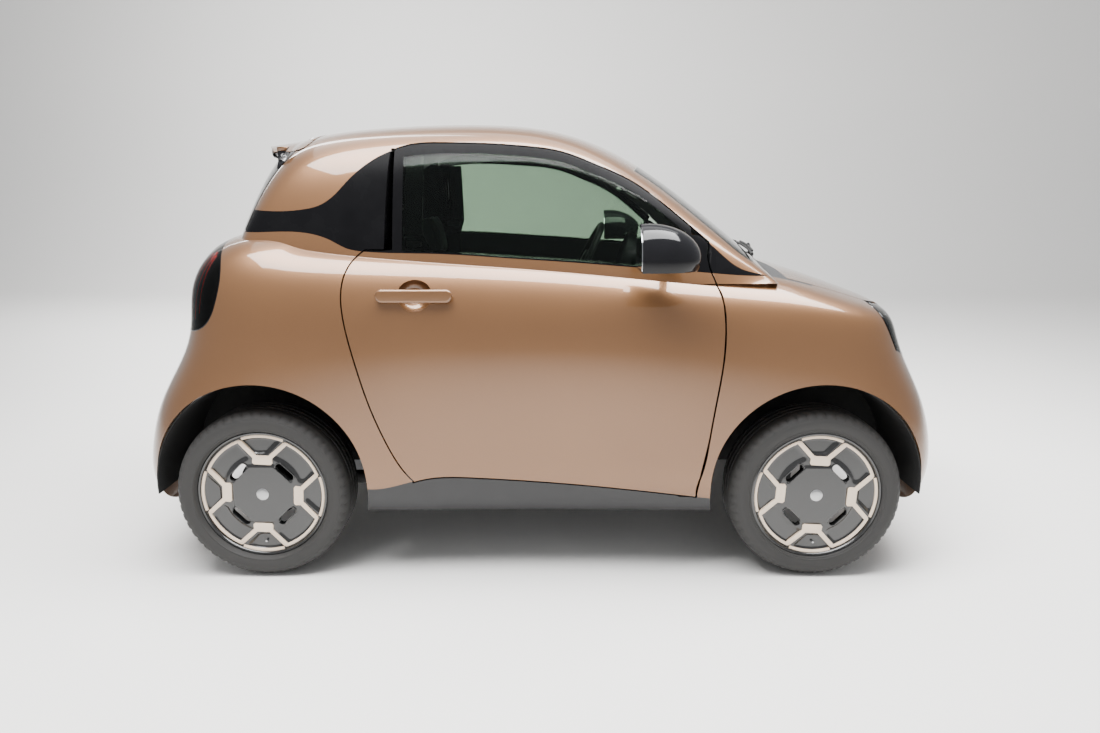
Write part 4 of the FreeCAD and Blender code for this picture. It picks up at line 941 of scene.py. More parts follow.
def slab(low: Point, high: Point, cuts: int = 0) -> bmesh.types.BMesh:
    """A block between two corners, ready to be shaped or rounded.

    Args:
        low: Lowest corner.
        high: Highest corner.
        cuts: Cuts across each edge.

    Returns:
        The block.
    """
    bm = bmesh.new()
    bmesh.ops.create_cube(bm, size=1.0)
    if cuts:
        bmesh.ops.subdivide_edges(bm, edges=bm.edges, cuts=cuts, use_grid_fill=True)
    low_corner, high_corner = Vector(low), Vector(high)
    reach, middle = high_corner - low_corner, (high_corner + low_corner) / 2
    for vert in bm.verts:
        vert.co = Vector((vert.co.x * reach.x, vert.co.y * reach.y, vert.co.z * reach.z)) + middle
    return bm


def aimed(bm: bmesh.types.BMesh, spot: Any, facing: Any) -> bmesh.types.BMesh:
    """Move a shape drawn about the origin, facing along -Y, to a place and a direction.

    Args:
        bm: The shape.
        spot: The place.
        facing: The direction that it is to face.

    Returns:
        The same shape.
    """
    turn = Vector((0, -1, 0)).rotation_difference(Vector(facing).normalized())
    place = Matrix.Translation(Vector(spot)) @ turn.to_matrix().to_4x4()
    bmesh.ops.transform(bm, matrix=place, verts=bm.verts)
    return bm


def swell(piece: bpy.types.Object, voxel: float, cap: float, pressure: float = 4.0,
          frames: int = 20) -> None:
    """Puff a pad by a cloth simulation and keep the result, capped, in its mesh.

    Args:
        piece: The pad, drawn a little smaller than it ends.
        voxel: The size of its even faces.
        cap: The most that a point may move.
        pressure: How hard it is filled.
        frames: How long it has to puff up.
    """
    even = piece.modifiers.new("even", "REMESH")
    even.mode, even.voxel_size = "VOXEL", voxel
    bake(piece)
    start = places_of(piece.data)
    cloth = piece.modifiers.new("cloth", "CLOTH").settings
    cloth.use_pressure, cloth.uniform_pressure_force = True, pressure
    cloth.effector_weights.gravity = 0.0
    for frame in range(1, frames + 1):
        bpy.context.scene.frame_set(frame)
    bake(piece)
    bpy.context.scene.frame_set(1)
    move = places_of(piece.data) - start
    length = np.maximum(np.linalg.norm(move, axis=1, keepdims=True), 1e-9)
    piece.data.vertices.foreach_set("co", (start + move * np.minimum(1.0, cap / length)).ravel())
    piece.data.update()
    finish_modifiers(piece, subdivide=1)


def sew(mesh: bpy.types.Mesh, away: Callable[[np.ndarray], np.ndarray], depth: float = 0.006,
        width: float = 0.007) -> None:
    """Press seams into a pad.

    Args:
        mesh: The pad's mesh.
        away: Distance from each place to the nearest seam.
        depth: How deep a seam lies.
        width: Half of its width.
    """
    places, normals = places_of(mesh), np.zeros(len(mesh.vertices) * 3)
    mesh.vertex_normals.foreach_get("vector", normals)
    sink = depth * np.exp(-(away(places) / width) ** 2)
    mesh.vertices.foreach_set("co", (places - normals.reshape(-1, 3) * sink[:, None]).ravel())
    mesh.update()


@dataclass
class Workshop:
    """What every sub-assembly needs: the frame, the finishes and the body's surfaces."""

    frame: dict[str, Any]
    paints: Paints = field(default_factory=Paints)
    skin: BodySkin = field(default_factory=BodySkin)
    trees: dict[str, BVHTree] = field(default_factory=dict)

    def tree(self, node: str) -> BVHTree:
        """A node's shape, to find where a line meets it.

        Args:
            node: Name of the node.

        Returns:
            The tree of its faces.
        """
        if node not in self.trees:
            bm = opened(self.frame["nodes"][node].data)
            self.trees[node] = BVHTree.FromBMesh(bm)
            bm.free()
        return self.trees[node]

    def settle(self, piece: bpy.types.Object, body: str, slot: str,
               replaces: Sequence[str] = ()) -> bpy.types.Object:
        """Make a piece ride on a body and report it.

        Args:
            piece: The finished piece.
            body: The body's name.
            slot: The slot that its finish belongs to; not used.
            replaces: The nodes that it stands for.

        Returns:
            The piece.
        """
        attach(piece, body)
        if replaces:
            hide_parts(*replaces)
        LOG.info("%s: %d faces on %s", piece.name, len(piece.data.polygons), body)
        return piece

    def merged_copy(self, node: str, angle: float = 0.5) -> bpy.types.Mesh:
        """A node's mesh with its loose triangles merged, smooth up to an angle."""
        bm = opened(self.frame["nodes"][node].data)
        bmesh.ops.remove_doubles(bm, verts=bm.verts, dist=MERGE)
        return smoothed(plain_mesh(bm, node), angle)

    def body_of(self, node: str) -> str:
        """The body that a node belongs to."""
        return self.frame["nodes"][node]["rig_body"]

    def dress(self, node: str, mesh: bpy.types.Mesh, finish: str, slot: str) -> None:
        """Put a mesh with a finish in a node's place."""
        piece = new_object(f"{node}_dressed", mesh, self.paints[finish])
        self.settle(piece, self.body_of(node), slot, [node])

    def add(self, name: str, bm: bmesh.types.BMesh, finish: str, body: str, slot: str,
            smooth_angle: float = 0.7, merge: float = 0.0) -> bpy.types.Object:
        """Make a shape a piece, as it is.

        Args:
            name: The piece's name.
            bm: The shape.
            finish: Its finish.
            body: The body that it rides on.
            slot: The slot that its finish belongs to.
            smooth_angle: The angle up to which it is shaded smooth.
            merge: Distance under which its points become one.

        Returns:
            The piece.
        """
        piece = new_object(name, mesh_from(bm, name, smooth_angle, merge), self.paints[finish])
        return self.settle(piece, body, slot)


# Repeated shapes.


class Repeater:
    """A node tree that repeats one shape along a row or round an axle."""

    def __init__(self) -> None:
        """Build the tree with its named inputs."""
        self.tree = bpy.data.node_groups.new("repeat", "GeometryNodeTree")
        face = self.tree.interface
        face.new_socket("Geometry", in_out="INPUT", socket_type="NodeSocketGeometry")
        for name, kind in (("Count", "Int"), ("Start", "Vector"), ("Step", "Vector"), ("Turn", "Vector"),
                           ("Finish", "Material")):
            face.new_socket(name, in_out="INPUT", socket_type=f"NodeSocket{kind}")
        face.new_socket("Geometry", in_out="OUTPUT", socket_type="NodeSocketGeometry")
        nodes = self.tree.nodes
        source, result = nodes.new("NodeGroupInput"), nodes.new("NodeGroupOutput")
        index = nodes.new("GeometryNodeInputIndex")
        line = nodes.new("GeometryNodeMeshLine")
        line.mode = "OFFSET"
        put, real, dress = (nodes.new(f"GeometryNode{kind}") for kind in
                            ("InstanceOnPoints", "RealizeInstances", "SetMaterial"))
        spin = nodes.new("ShaderNodeVectorMath")
        spin.operation = "SCALE"
        self._link(source, "Count", line, "Count")
        self._link(source, "Start", line, "Start Location")
        self._link(source, "Step", line, "Offset")
        self._link(line, "Mesh", put, "Points")
        self._link(source, "Geometry", put, "Instance")
        self._link(source, "Turn", spin, 0)
        self._link(index, 0, spin, "Scale")
        self._link(spin, 0, put, "Rotation")
        self._link(put, 0, real, 0)
        self._link(real, 0, dress, "Geometry")
        self._link(source, "Finish", dress, "Material")
        self._link(dress, 0, result, 0)

    def _link(self, start: Any, output: Any, end: Any, target: Any) -> None:
        """Join two nodes."""
        self.tree.links.new(start.outputs[output], end.inputs[target])

    def repeat(self, piece: bpy.types.Object, count: int, start: Point, step: Point = (0, 0, 0),
               turn: Point = (0, 0, 0)) -> bpy.types.Object:
        """Repeat a piece's shape and keep the result as its mesh.

        Args:
            piece: The piece, drawn about the origin.
            count: How many there are.
            start: Where the first one goes.
            step: From one to the next.
            turn: Turn from one to the next, about X, Y and Z.

        Returns:
            The piece.
        """
        made = piece.modifiers.new("repeat", "NODES")
        made.node_group = self.tree
        values = {"Count": count, "Start": start, "Step": step, "Turn": turn,
                  "Finish": piece.data.materials[0]}
        for item in self.tree.interface.items_tree:
            if item.in_out == "INPUT" and item.name in values:
                made[item.identifier] = values[item.name]
        bake(piece)
        return piece


# Wheels.


@dataclass
class Wheel:
    """One wheel: gloss black rim with pale bands, bare cap and valve, and its tyre."""

    shop: Workshop
    side: Side
    end: End
    outline: float = 0.2085
    flange: float = 0.2205
    depth: float = 0.0813
    face: float = 0.071
    radius: float = 0.292
    bead: float = 0.206
    bead_offset: float = 0.073
    outer: float = 0.817
    bore: float = 0.012
    reach: float = 0.1945
    rings: int = 64
    steps: int = 288
    wall: float = 0.014
    band_wall: float = 0.012
    slot_middle: float = 0.110
    slot_half: float = 0.024
    slot_radius: float = 0.0135
    groove: float = 0.009
    tread_depth: float = 0.007
    block_depth: float = 0.004
    tyre_steps: int = 216

    @property
    def width(self) -> float:
        """The tyre's width."""
        return 0.185 if self.end is End.FRONT else 0.205

    @property
    def centre(self) -> Point:
        """The wheel's own centre."""
        return (self.end.value * AXLE, self.side.value * (self.outer - self.width / 2), HUB)

    @property
    def name(self) -> str:
        """End and side in words."""
        return f"{self.end.name.lower()}_{self.side.name.lower()}"

    def build(self) -> None:
        """Make the rim, its bands, the cap and the tyre."""
        body = f"wheel_{self.name}"
        self.shop.settle(self._rim(), body, "wheel_black", [f"rim_{self.name}"])
        self.shop.settle(self._bands(), body, "wheel_black")
        self.shop.settle(self._cap(), body, "wheel_black")
        self.shop.settle(self._tyre(), body, "tyre", [f"tyre_{self.name}"])

    def _made(self, part: str, mesh: bpy.types.Mesh, finish: str) -> bpy.types.Object:
        """A part of this wheel as an object."""
        return new_object(f"wheel_{part}_{self.name}", mesh, self.shop.paints[finish])

    def _out(self, across: float, up: float, proud: float) -> Point:
        """A place on the wheel: across and up from its centre, and outwards from its middle plane."""
        x, y, z = self.centre
        return (x + across, y + self.side.value * proud, z + up)

    def _surface(self, radius: float, angle: float) -> float:
        """How far the rim's face stands out from the wheel's middle plane.

        Args:
            radius: Distance from the axle.
            angle: Angle round it in radians.

        Returns:
            The distance.
        """
        share = radius / self.outline
        out = self.face + 0.004 * (1 - share * share)
        off = (angle + math.pi / 4) % (math.pi / 2) - math.pi / 4
        axis_x, axis_y = radius * math.sin(off), radius * math.cos(off)
        fold = (angle + math.pi / 8) % (math.pi / 4) - math.pi / 8
        hub = ease((0.50 * self.outline - radius * math.cos(fold)) / 0.008)
        out += 0.004 * hub
        wide, tall = abs(axis_x) / self.outline, axis_y / self.outline
        notch = ease((0.97 - share) / 0.05) * ease((tall - 0.66) / 0.06)
        notch *= ease((tall - 0.54 - wide) / 0.09)
        out -= 0.008 * notch
        window = ease((0.95 - share) / 0.06) * ease((wide - tall + 0.52) / 0.10)
        window *= ease((share - 0.60) / 0.08) * ease((wide - 0.17) / 0.08)
        return out - 0.006 * window

    def _slot(self, radius: float, angle: float) -> bool:
        """Whether a place on the rim's face lies in one of the four slots."""
        off = angle % (math.pi / 2) - math.pi / 4
        along, across = radius * math.cos(off) - self.slot_middle, radius * math.sin(off)
        return math.hypot(along, max(0.0, abs(across) - self.slot_half)) < self.slot_radius

    def _rim(self) -> bpy.types.Object:
        """The rim: barrel, flanges and a moulded face with four slots.

        Returns:
            The piece.
        """
        steps, bm = self.steps, bmesh.new()
        radii = [self.bore + self.reach * ring / self.rings for ring in range(self.rings + 1)]
        turns = [math.tau * k / steps for k in range(steps)]
        grid = [[bm.verts.new(self._out(radius * math.cos(turn), radius * math.sin(turn),
                                        self._surface(radius, turn))) for turn in turns]
                for radius in radii]
        for row, (low, high) in enumerate(zip(grid, grid[1:])):
            middle = (radii[row] + radii[row + 1]) / 2
            for k in range(steps):
                if not self._slot(middle, math.tau * (k + 0.5) / steps):
                    bm.faces.new((low[k], low[(k + 1) % steps], high[(k + 1) % steps], high[k]))
        bm.faces.new(grid[0])
        bmesh.ops.recalc_face_normals(bm, faces=bm.faces)
        face = new_object("rim_face", mesh_from(bm, "rim_face", 0.9), self.shop.paints["wheel_black"])
        bake(walled(face, self.wall, self._inwards(face)))
        whole = opened(face.data)
        bpy.data.objects.remove(face)
        edge, deep = self.flange, self.depth
        profile = [(0.2055, 0.069), (0.2075, 0.0745), (0.2110, 0.0795), (0.2160, deep), (edge, deep - 0.002),
                   (edge, 0.0740), (0.2065, 0.0730), (0.2057, 0.0700), (0.2057, 0.045), (0.190, 0.030),
                   (0.190, -0.045), (0.2057, -0.060), (0.2057, -0.0730), (edge, -0.0740), (edge, -deep),
                   (0.2140, -deep), (0.2000, -0.062), (0.184, -0.045), (0.184, 0.030), (0.2000, 0.060)]
        barrel = lathe(self._sided(profile), 96, self.centre, closed=True)
        bmesh.ops.recalc_face_normals(barrel, faces=barrel.faces)
        rim = joined([whole, barrel] + [self._slot_lip(quarter) for quarter in range(4)])
        return self._made("rim", mesh_from(rim, "wheel_rim", 0.5, 0.0), "wheel_black")

    def _sided(self, profile: Sequence[tuple[float, float]]) -> list[tuple[float, float]]:
        """A profile whose offsets point outwards on this wheel's side."""
        return [(radius, self.side.value * offset) for radius, offset in profile]

    def _slot_lip(self, quarter: int) -> bmesh.types.BMesh:
        """The raised lip round one slot, with the wall that goes down into it.

        Args:
            quarter: Which of the four slots.

        Returns:
            The lip.
        """
        bm, turn, steps = bmesh.new(), math.pi / 2 * quarter + math.pi / 4, 40
        rings = []
        for grow, proud in ((0.0165, 0.0690), (0.0160, 0.0765), (0.0145, 0.0772), (0.0128, 0.0765),
                            (0.0120, 0.0550)):
            ring = []
            for step in range(steps):
                angle = math.tau * step / steps
                reach = self.slot_half if math.sin(angle) >= 0 else -self.slot_half
                across, along = self.slot_middle + grow * math.cos(angle), reach + grow * math.sin(angle)
                x = across * math.cos(turn) - along * math.sin(turn)
                y = across * math.sin(turn) + along * math.cos(turn)
                ring.append(bm.verts.new(self._out(x, y, proud)))
            rings.append(ring)
        band(bm, rings, True)
        bmesh.ops.recalc_face_normals(bm, faces=bm.faces)
        side = sum((face.normal.y * face.calc_area() for face in bm.faces)) * self.side.value
        if side < 0:
            bmesh.ops.reverse_faces(bm, faces=bm.faces)
        return bm

    def _inwards(self, face: bpy.types.Object) -> float:
        """The offset that gives a flat sheet its wall on the side of the car."""
        total = sum((poly.normal * poly.area for poly in face.data.polygons), Vector())
        return -1.0 if total.y * self.side.value > 0 else 1.0

    def _bands(self) -> bpy.types.Object:
        """The pale bands: one ring that dips to four pads, and four arcs outside the dips.

        Returns:
            The piece.
        """
        parts = []
        outer = [(0.0, 0.657), (0.10, 0.657), (0.10, 0.657), (0.10, 0.657), (0.335, 0.888), (0.372, 0.898)]
        inner = [(0.0, 0.503), (0.135, 0.503), (0.163, 0.530), (0.158, 0.610), (0.378, 0.828), (0.385, 0.842)]
        for step in range(1, 9):
            turn = math.radians(22.5 + 22.5 * step / 8)
            outer.append((0.974 * math.sin(turn), 0.974 * math.cos(turn)))
            inner.append((0.928 * math.sin(turn), 0.928 * math.cos(turn)))
        for quarter in range(4):
            for flip in (-1, 1):
                parts.append(self._strip(outer, inner, quarter, flip))
            arc_out = [(math.sin(math.radians(a)), math.cos(math.radians(a))) for a in range(-20, 21, 2)]
            parts.append(self._strip(arc_out, [(0.955 * x, 0.955 * y) for x, y in arc_out], quarter, 1))
        piece = self._made("bands", mesh_from(joined(parts), "wheel_bands", 0.5, 1e-5), "wheel_beige")
        finish_modifiers(walled(piece, self.band_wall, self._inwards(piece)), 0.0012)
        return piece

    def _strip(self, outer: Sequence[tuple[float, float]], inner: Sequence[tuple[float, float]],
               quarter: int, flip: int) -> bmesh.types.BMesh:
        """Flat faces between two edges of a band, turned to a quarter of the wheel.

        Args:
            outer: Places along the outer edge.
            inner: Places along the inner edge.
            quarter: Quarter turns round the axle.
            flip: 1 as drawn, or -1 for its mirror image.

        Returns:
            The faces.
        """
        bm, turn = bmesh.new(), math.pi / 2 * quarter + self.side.value * math.radians(3)
        rows = []
        for edge in (outer, inner):
            row = []
            for a, b in edge:
                a, b = flip * a * self.outline, b * self.outline
                across = a * math.cos(turn) - b * math.sin(turn)
                up = a * math.sin(turn) + b * math.cos(turn)
                proud = self.face + 0.0045 + 0.003 * (1 - (a * a + b * b) / self.outline ** 2)
                row.append(bm.verts.new(self._out(across, up, proud)))
            rows.append(row)
        for k in range(len(outer) - 1):
            corners = [rows[0][k], rows[0][k + 1], rows[1][k + 1], rows[1][k]]
            if flip < 0:
                corners.reverse()
            bm.faces.new(corners)
        bmesh.ops.remove_doubles(bm, verts=bm.verts, dist=CUT)
        return bm

    def _cap(self) -> bpy.types.Object:
        """The bare bright cap and the valve.

        Returns:
            The piece.
        """
        cap = [(0.0001, 0.0815), (0.012, 0.0812), (0.020, 0.0795), (0.0235, 0.0765), (0.0235, 0.070)]
        stem = [(0.0001, 0.0760), (0.0035, 0.0755), (0.0042, 0.0730), (0.0042, 0.0640),
                (0.0055, 0.0630), (0.0055, 0.0480)]
        x, y, z = self.centre
        parts = [lathe(self._sided(cap), 48, self.centre),
                 lathe(self._sided(stem), 16, (x, y, z - 0.82 * self.outline))]
        return self._made("cap", mesh_from(joined(parts), "wheel_cap", 0.5), "bright_steel")

    def _tyre(self) -> bpy.types.Object:
        """The tyre: bulged walls with fine rings, rounded shoulders and a grooved tread.

        Returns:
            The piece.
        """
        half, top, bead, steps = self.width / 2, self.radius, self.bead_offset, self.tyre_steps
        bulge = [(0.2265, 0.008), (0.2300, 0.005), (0.2330, 0.0055), (0.2370, 0.0035), (0.2450, 0.0008),
                 (0.2540, 0.0), (0.2640, 0.0018), (0.2660, 0.0036), (0.2680, 0.0036), (0.2735, 0.0075),
                 (0.2790, 0.0130), (0.2840, 0.0200), (0.2880, 0.0290), (0.2900, 0.0360)]
        wall = [(self.bead, -bead + 0.004), (self.bead, -bead), (0.2160, -bead - 0.001), (0.2235, -0.0845)]
        wall += [(radius, -half + inset) for radius, inset in bulge]
        shoulder, groove, floor = half - 0.042, self.groove / 2, top - self.tread_depth
        tread = [(top - 0.0005, -shoulder)]
        for middle in (-0.030, 0.0, 0.030):
            tread += [(top, middle - groove - 0.0006), (floor, middle - groove + 0.001),
                      (floor, middle + groove - 0.001), (top, middle + groove + 0.0006)]
        tread.append((top - 0.0005, shoulder))
        profile = wall + tread + [(radius, -offset) for radius, offset in wall[::-1]]
        bm = lathe(profile, steps, self.centre)
        centre = Vector(self.centre)
        for vert in bm.verts:
            out = vert.co - centre
            offset, radius = abs(out.y), math.hypot(out.x, out.z)
            step = round(math.atan2(out.z, out.x) / math.tau * steps) % 4
            if half - 0.034 < offset < half - 0.002 and radius > 0.270 and step == 0:
                sink = 1 - self.block_depth / radius
                vert.co = centre + Vector((out.x * sink, out.y, out.z * sink))
        return self._made("tyre", mesh_from(bm, "wheel_tyre", 0.7), "tyre_rubber")


def ease(share: float) -> float:
    """A smooth step from 0 to 1."""
    share = min(1.0, max(0.0, share))
    return share * share * (3 - 2 * share)


# Painted and glossy shell.


@dataclass
class Shell:
    """Outer panels and panes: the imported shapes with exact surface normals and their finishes."""

    shop: Workshop
    finishes: tuple[tuple[str, str, tuple[str, ...]], ...] = (
        ("pearl_paint", "paint", ("roof_shell",)),
        ("gloss_black", "paint", ("hatch_frame",)),
        ("pearl_paint", "paint", ("bonnet", "tailgate", "rear_bumper", "front_bumper", "front_wings",
                                  "rear_quarters", "door_right_panel", "door_left_panel")),
        ("frame_black", "gloss_black", ("door_right_frame", "door_left_frame")),
        ("pearl_paint", "paint", ("door_right_handle", "door_left_handle")),
        ("gloss_black", "gloss_black", ("door_right_mirror", "door_left_mirror")),
        ("frame_black", "gloss_black", ("quarter_windows",)),
        ("trim_black", "trim_black", ("cowl", "sill_covers", "grille")),
        ("window_clear", "window_glass", ("windscreen",)),
        ("window_rear", "window_glass", ("hatch_window",)),
        ("window_dark", "window_glass", ("door_right_window", "door_left_window")),
    )

    def build(self) -> None:
        """Dress every panel."""
        for finish, slot, nodes in self.finishes:
            for node in nodes:
                mesh = self.shop.merged_copy(node)
                self.shop.skin.smooth(mesh)
                if node == "hatch_frame":
                    RearLip().tuck(self.shop, mesh)
                self.shop.dress(node, mesh, finish, slot)


@dataclass(frozen=True)
class RearLip:
    """The rear lip's sizes: root, blade and middle lie behind the car's middle."""

    root: float = 0.80
    foot: float = 1.33
    under: float = 1.41
    bow: float = 0.957
    middle: float = 0.078
    blade: float = 0.90
    blades_at: tuple[float, float] = (0.493, 0.509)
    slope: float = 0.147

    def tuck(self, shop: Workshop, mesh: bpy.types.Mesh) -> None:
        """Draw the lip on the hatch frame's mesh in to the length that the photograph shows.

        Args:
            shop: The workshop.
            mesh: The hatch frame's mesh, changed here.
        """
        away = shop.skin.away(mesh)
        for vert in mesh.vertices:
            x, y, z = vert.co
            if away[vert.index] < OFF_SKIN or x > -self.root or z < self.foot:
                continue
            lip = z > self.under and not self.blades_at[0] < abs(y) < self.blades_at[1]
            limit = -(self.middle + math.sqrt(self.bow * self.bow - y * y)) if lip else -self.blade
            if x < limit:
                vert.co = (limit, y, z + (limit - x) * self.slope if lip else z)


@dataclass
class LipPaint:
    """The painted skin over the top and tail of the rear lip."""

    shop: Workshop
    ahead: float = -0.795
    low: float = 1.432
    half: float = 0.53
    wall: float = 0.0012
    level: float = 0.25
    steep: float = 0.6

    def build(self) -> None:
        """Cover the lip's top and tail with a thin painted layer."""
        mesh = self.shop.merged_copy("hatch_frame")
        RearLip().tuck(self.shop, mesh)
        bm = opened(mesh)
        bmesh.ops.bisect_plane(bm, geom=bm.verts[:] + bm.edges[:] + bm.faces[:], dist=CUT,
                               plane_co=(0, 0, self.low), plane_no=(0, 0, 1))
        bm.to_mesh(mesh)
        away = self.shop.skin.away(mesh)
        bpy.data.meshes.remove(mesh)
        bm.normal_update()
        rest = [face for face in bm.faces if not self._painted(face, away)]
        bmesh.ops.delete(bm, geom=rest, context="FACES")
        piece = new_object("lip_paint", plain_mesh(bm, "lip_paint"), self.shop.paints["pearl_paint"])
        bake(walled(piece, self.wall, 1.0))
        self.shop.settle(piece, self.shop.body_of("hatch_frame"), "paint")

    def _painted(self, face: bmesh.types.BMFace, away: np.ndarray) -> bool:
        """Whether a face of the hatch frame belongs to the lip's top or tail.

        Args:
            face: The face.
            away: How far each corner lies from the outer skin.

        Returns:
            True where it is painted.
        """
        middle = face.calc_center_median()
        outside = max(away[vert.index] for vert in face.verts) > OFF_SKIN
        top = face.normal.z > self.level and (outside or middle.x < self.ahead)
        tail = (face.normal.x < -self.steep or abs(face.normal.y) > self.steep) and outside
        placed = middle.x < self.ahead and middle.z > self.low and abs(middle.y) < self.half
        return placed and bool(top or tail)


@dataclass
class PostTrim:
    """Black linings of the door pillars, seen through the glass."""

    shop: Workshop
    front: float = -0.384
    back: float = -0.500
    low: float = 0.90
    high: float = 1.41
    inset: float = 0.016
    wall: float = 0.006

    def build(self) -> None:
        """Make one lining a side, a little inside the shell."""
        for side in Side:
            bm = bmesh.new()
            rows = [[bm.verts.new(self._inside(side, float(x), float(height)))
                     for x in np.linspace(self.back, self.front, 5)]
                    for height in np.linspace(self.low, self.high, 9)]
            band(bm, rows, False)
            mesh = mesh_from(bm, "post_trim", 0.8)
            piece = new_object(f"post_trim_{side.name.lower()}", mesh, self.shop.paints["frame_black"])
            finish_modifiers(walled(piece, self.wall, 0.0), 0.001)
            self.shop.settle(piece, self.shop.body_of("roof_shell"), "gloss_black")

    def _inside(self, side: Side, x: float, height: float) -> Point:
        """A place a little inside the shell, found from the middle of the car.

        Args:
            side: Side of the car.
            x: Place along the car.
            height: Height above the floor.

        Returns:
            The place.
        """
        name = side.name.lower()
        start, out = Vector((x, 0, height)), Vector((0, side.value, 0))
        hits = [self.shop.tree(node).ray_cast(start, out)[0]
                for node in (f"door_{name}_window", f"door_{name}_frame", "quarter_windows", "roof_shell")]
        reach = min((abs(hit.y) for hit in hits if hit is not None), default=0.5)
        return x, side.value * (reach - self.inset), height


@dataclass
class Undercarriage:
    """Frame, hinges, running gear and cabin nodes that keep their own shape."""

    shop: Workshop
    finishes: tuple[tuple[str, str, str], ...] = (
        ("floor_frame", "primer_grey", ""), ("fixed_hinges", "bright_steel", "hinge_steel"),
        ("wheelhouse_liners", "liner_black", ""), ("front_subframe", "cast_iron", "gear_iron"),
        ("rear_axle", "cast_iron", "gear_iron"), ("knuckle_right", "cast_iron", "gear_iron"),
        ("knuckle_left", "cast_iron", "gear_iron"), ("motor_block", "cast_aluminium", ""),
        ("battery_pack", "pack_case", ""), ("dashboard", "cabin_black", "cabin_plastic"),
        ("steering_wheel", "grip_leather", "wheel_rim"),
    )

    def build(self) -> None:
        """Give each node its finish; one that has a slot here is round and gets a smooth copy."""
        for node, finish, slot in self.finishes:
            if slot:
                self.shop.dress(node, self.shop.merged_copy(node, 0.7), finish, slot)
            else:
                piece = self.shop.frame["nodes"][node]
                piece.data.materials.clear()
                piece.data.materials.append(self.shop.paints[finish])
                LOG.info("%s: %s", node, finish)


@dataclass
class Lamps:
    """A pair of lamps: thin lenses over dark housings, with bowls, fins and light tubes behind them."""

    shop: Workshop
    node: str
    lens: tuple[str, str]
    centre: tuple[float, float]
    wall: float = 0.0025

    def source(self) -> bpy.types.Mesh:
        """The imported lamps' mesh."""
        return self.shop.merged_copy(self.node)

    def build(self) -> None:
        """Split each packed lamp into its lens and housing, then fill it."""
        mesh = self.source()
        away = self.shop.skin.away(mesh)
        outer = [all(away[vert] < ON_SKIN for vert in face.vertices) for face in mesh.polygons]
        lens = self._shell(mesh, outer, True, self.lens[0])
        self.shop.skin.smooth(lens.data)
        body = self.shop.body_of(self.node)
        self.shop.settle(lens, body, self.lens[1], [self.node])
        self.shop.settle(self._shell(mesh, outer, False, "gloss_black"), body, "gloss_black")
        bpy.data.meshes.remove(mesh)
        self.fill(body)

    def _shell(self, mesh: bpy.types.Mesh, outer: list[bool], wanted: bool,
               finish: str) -> bpy.types.Object:
        """The lens or the housing as a thin wall.

        Args:
            mesh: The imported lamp's mesh.
            outer: Whether each face looks outwards.
            wanted: True for the lens, False for the housing.
            finish: Name of the finish.

        Returns:
            The piece.
        """
        bm = opened(mesh)
        bm.faces.ensure_lookup_table()
        rest = [bm.faces[k] for k, flag in enumerate(outer) if flag != wanted]
        bmesh.ops.delete(bm, geom=rest, context="FACES")
        name = f"{self.node}_lens" if wanted else f"{self.node}_housing"
        piece = new_object(name, plain_mesh(bm, self.node), self.shop.paints[finish])
        bake(walled(piece, self.wall, -1.0))
        return piece

    def fill(self, body: str) -> None:
        """Make what lies behind the lenses."""
        raise NotImplementedError

    def spot(self, side: Side, height: float, turn_deg: float, inset: float) -> tuple[Vector, Vector]:
        """A place behind the lens.

        Args:
            side: Side of the car.
            height: Height above the floor.
            turn_deg: Direction from the lamp's middle, from straight ahead round to the side.
            inset: How far behind the lens's outer face.

        Returns:
            The place and the direction outwards.
        """
        turn = math.radians(turn_deg)
        out = Vector((math.cos(turn), side.value * math.sin(turn), 0))
        middle = Vector((self.centre[0], side.value * self.centre[1], height))
        hit = self.shop.tree(self.node).ray_cast(middle + out * 0.8, -out)[0]
        return (hit or middle + out * 0.1) - out * inset, out

    def light_tube(self, side: Side, places: Iterable[tuple[float, float]], inset: float,
                   radius: float) -> bmesh.types.BMesh:
        """A tube behind the lens through places given as height and direction."""
        return tube([self.spot(side, height, turn, inset)[0] for height, turn in places], radius)

    def fin(self, side: Side, height: float, turns: Sequence[float], inset: float, deep: float,
            thick: float) -> bmesh.types.BMesh:
        """A level fin that follows the lens.

        Args:
            side: Side of the car.
            height: Height above the floor.
            turns: Directions along the fin.
            inset: How far behind the lens.
            deep: Its depth.
            thick: Its thickness.

        Returns:
            The fin.
        """
        bm, rows = bmesh.new(), []
        for turn in turns:
            place, out = self.spot(side, height, turn, inset)
            rows.append([bm.verts.new(place - out * back + Vector((0, 0, rise)))
                         for back, rise in ((0, 0), (deep, 0), (deep, thick), (0, thick))])
        band(bm, rows, True)
        bm.faces.new(rows[0])
        bm.faces.new(rows[-1][::-1])
        return bm

    def piece(self, name: str, parts: list[bmesh.types.BMesh], finish: str, body: str,
              slot: str) -> None:
        """Join shapes as one piece."""
        self.shop.add(f"{self.node}_{name}", joined(parts), finish, body, slot)


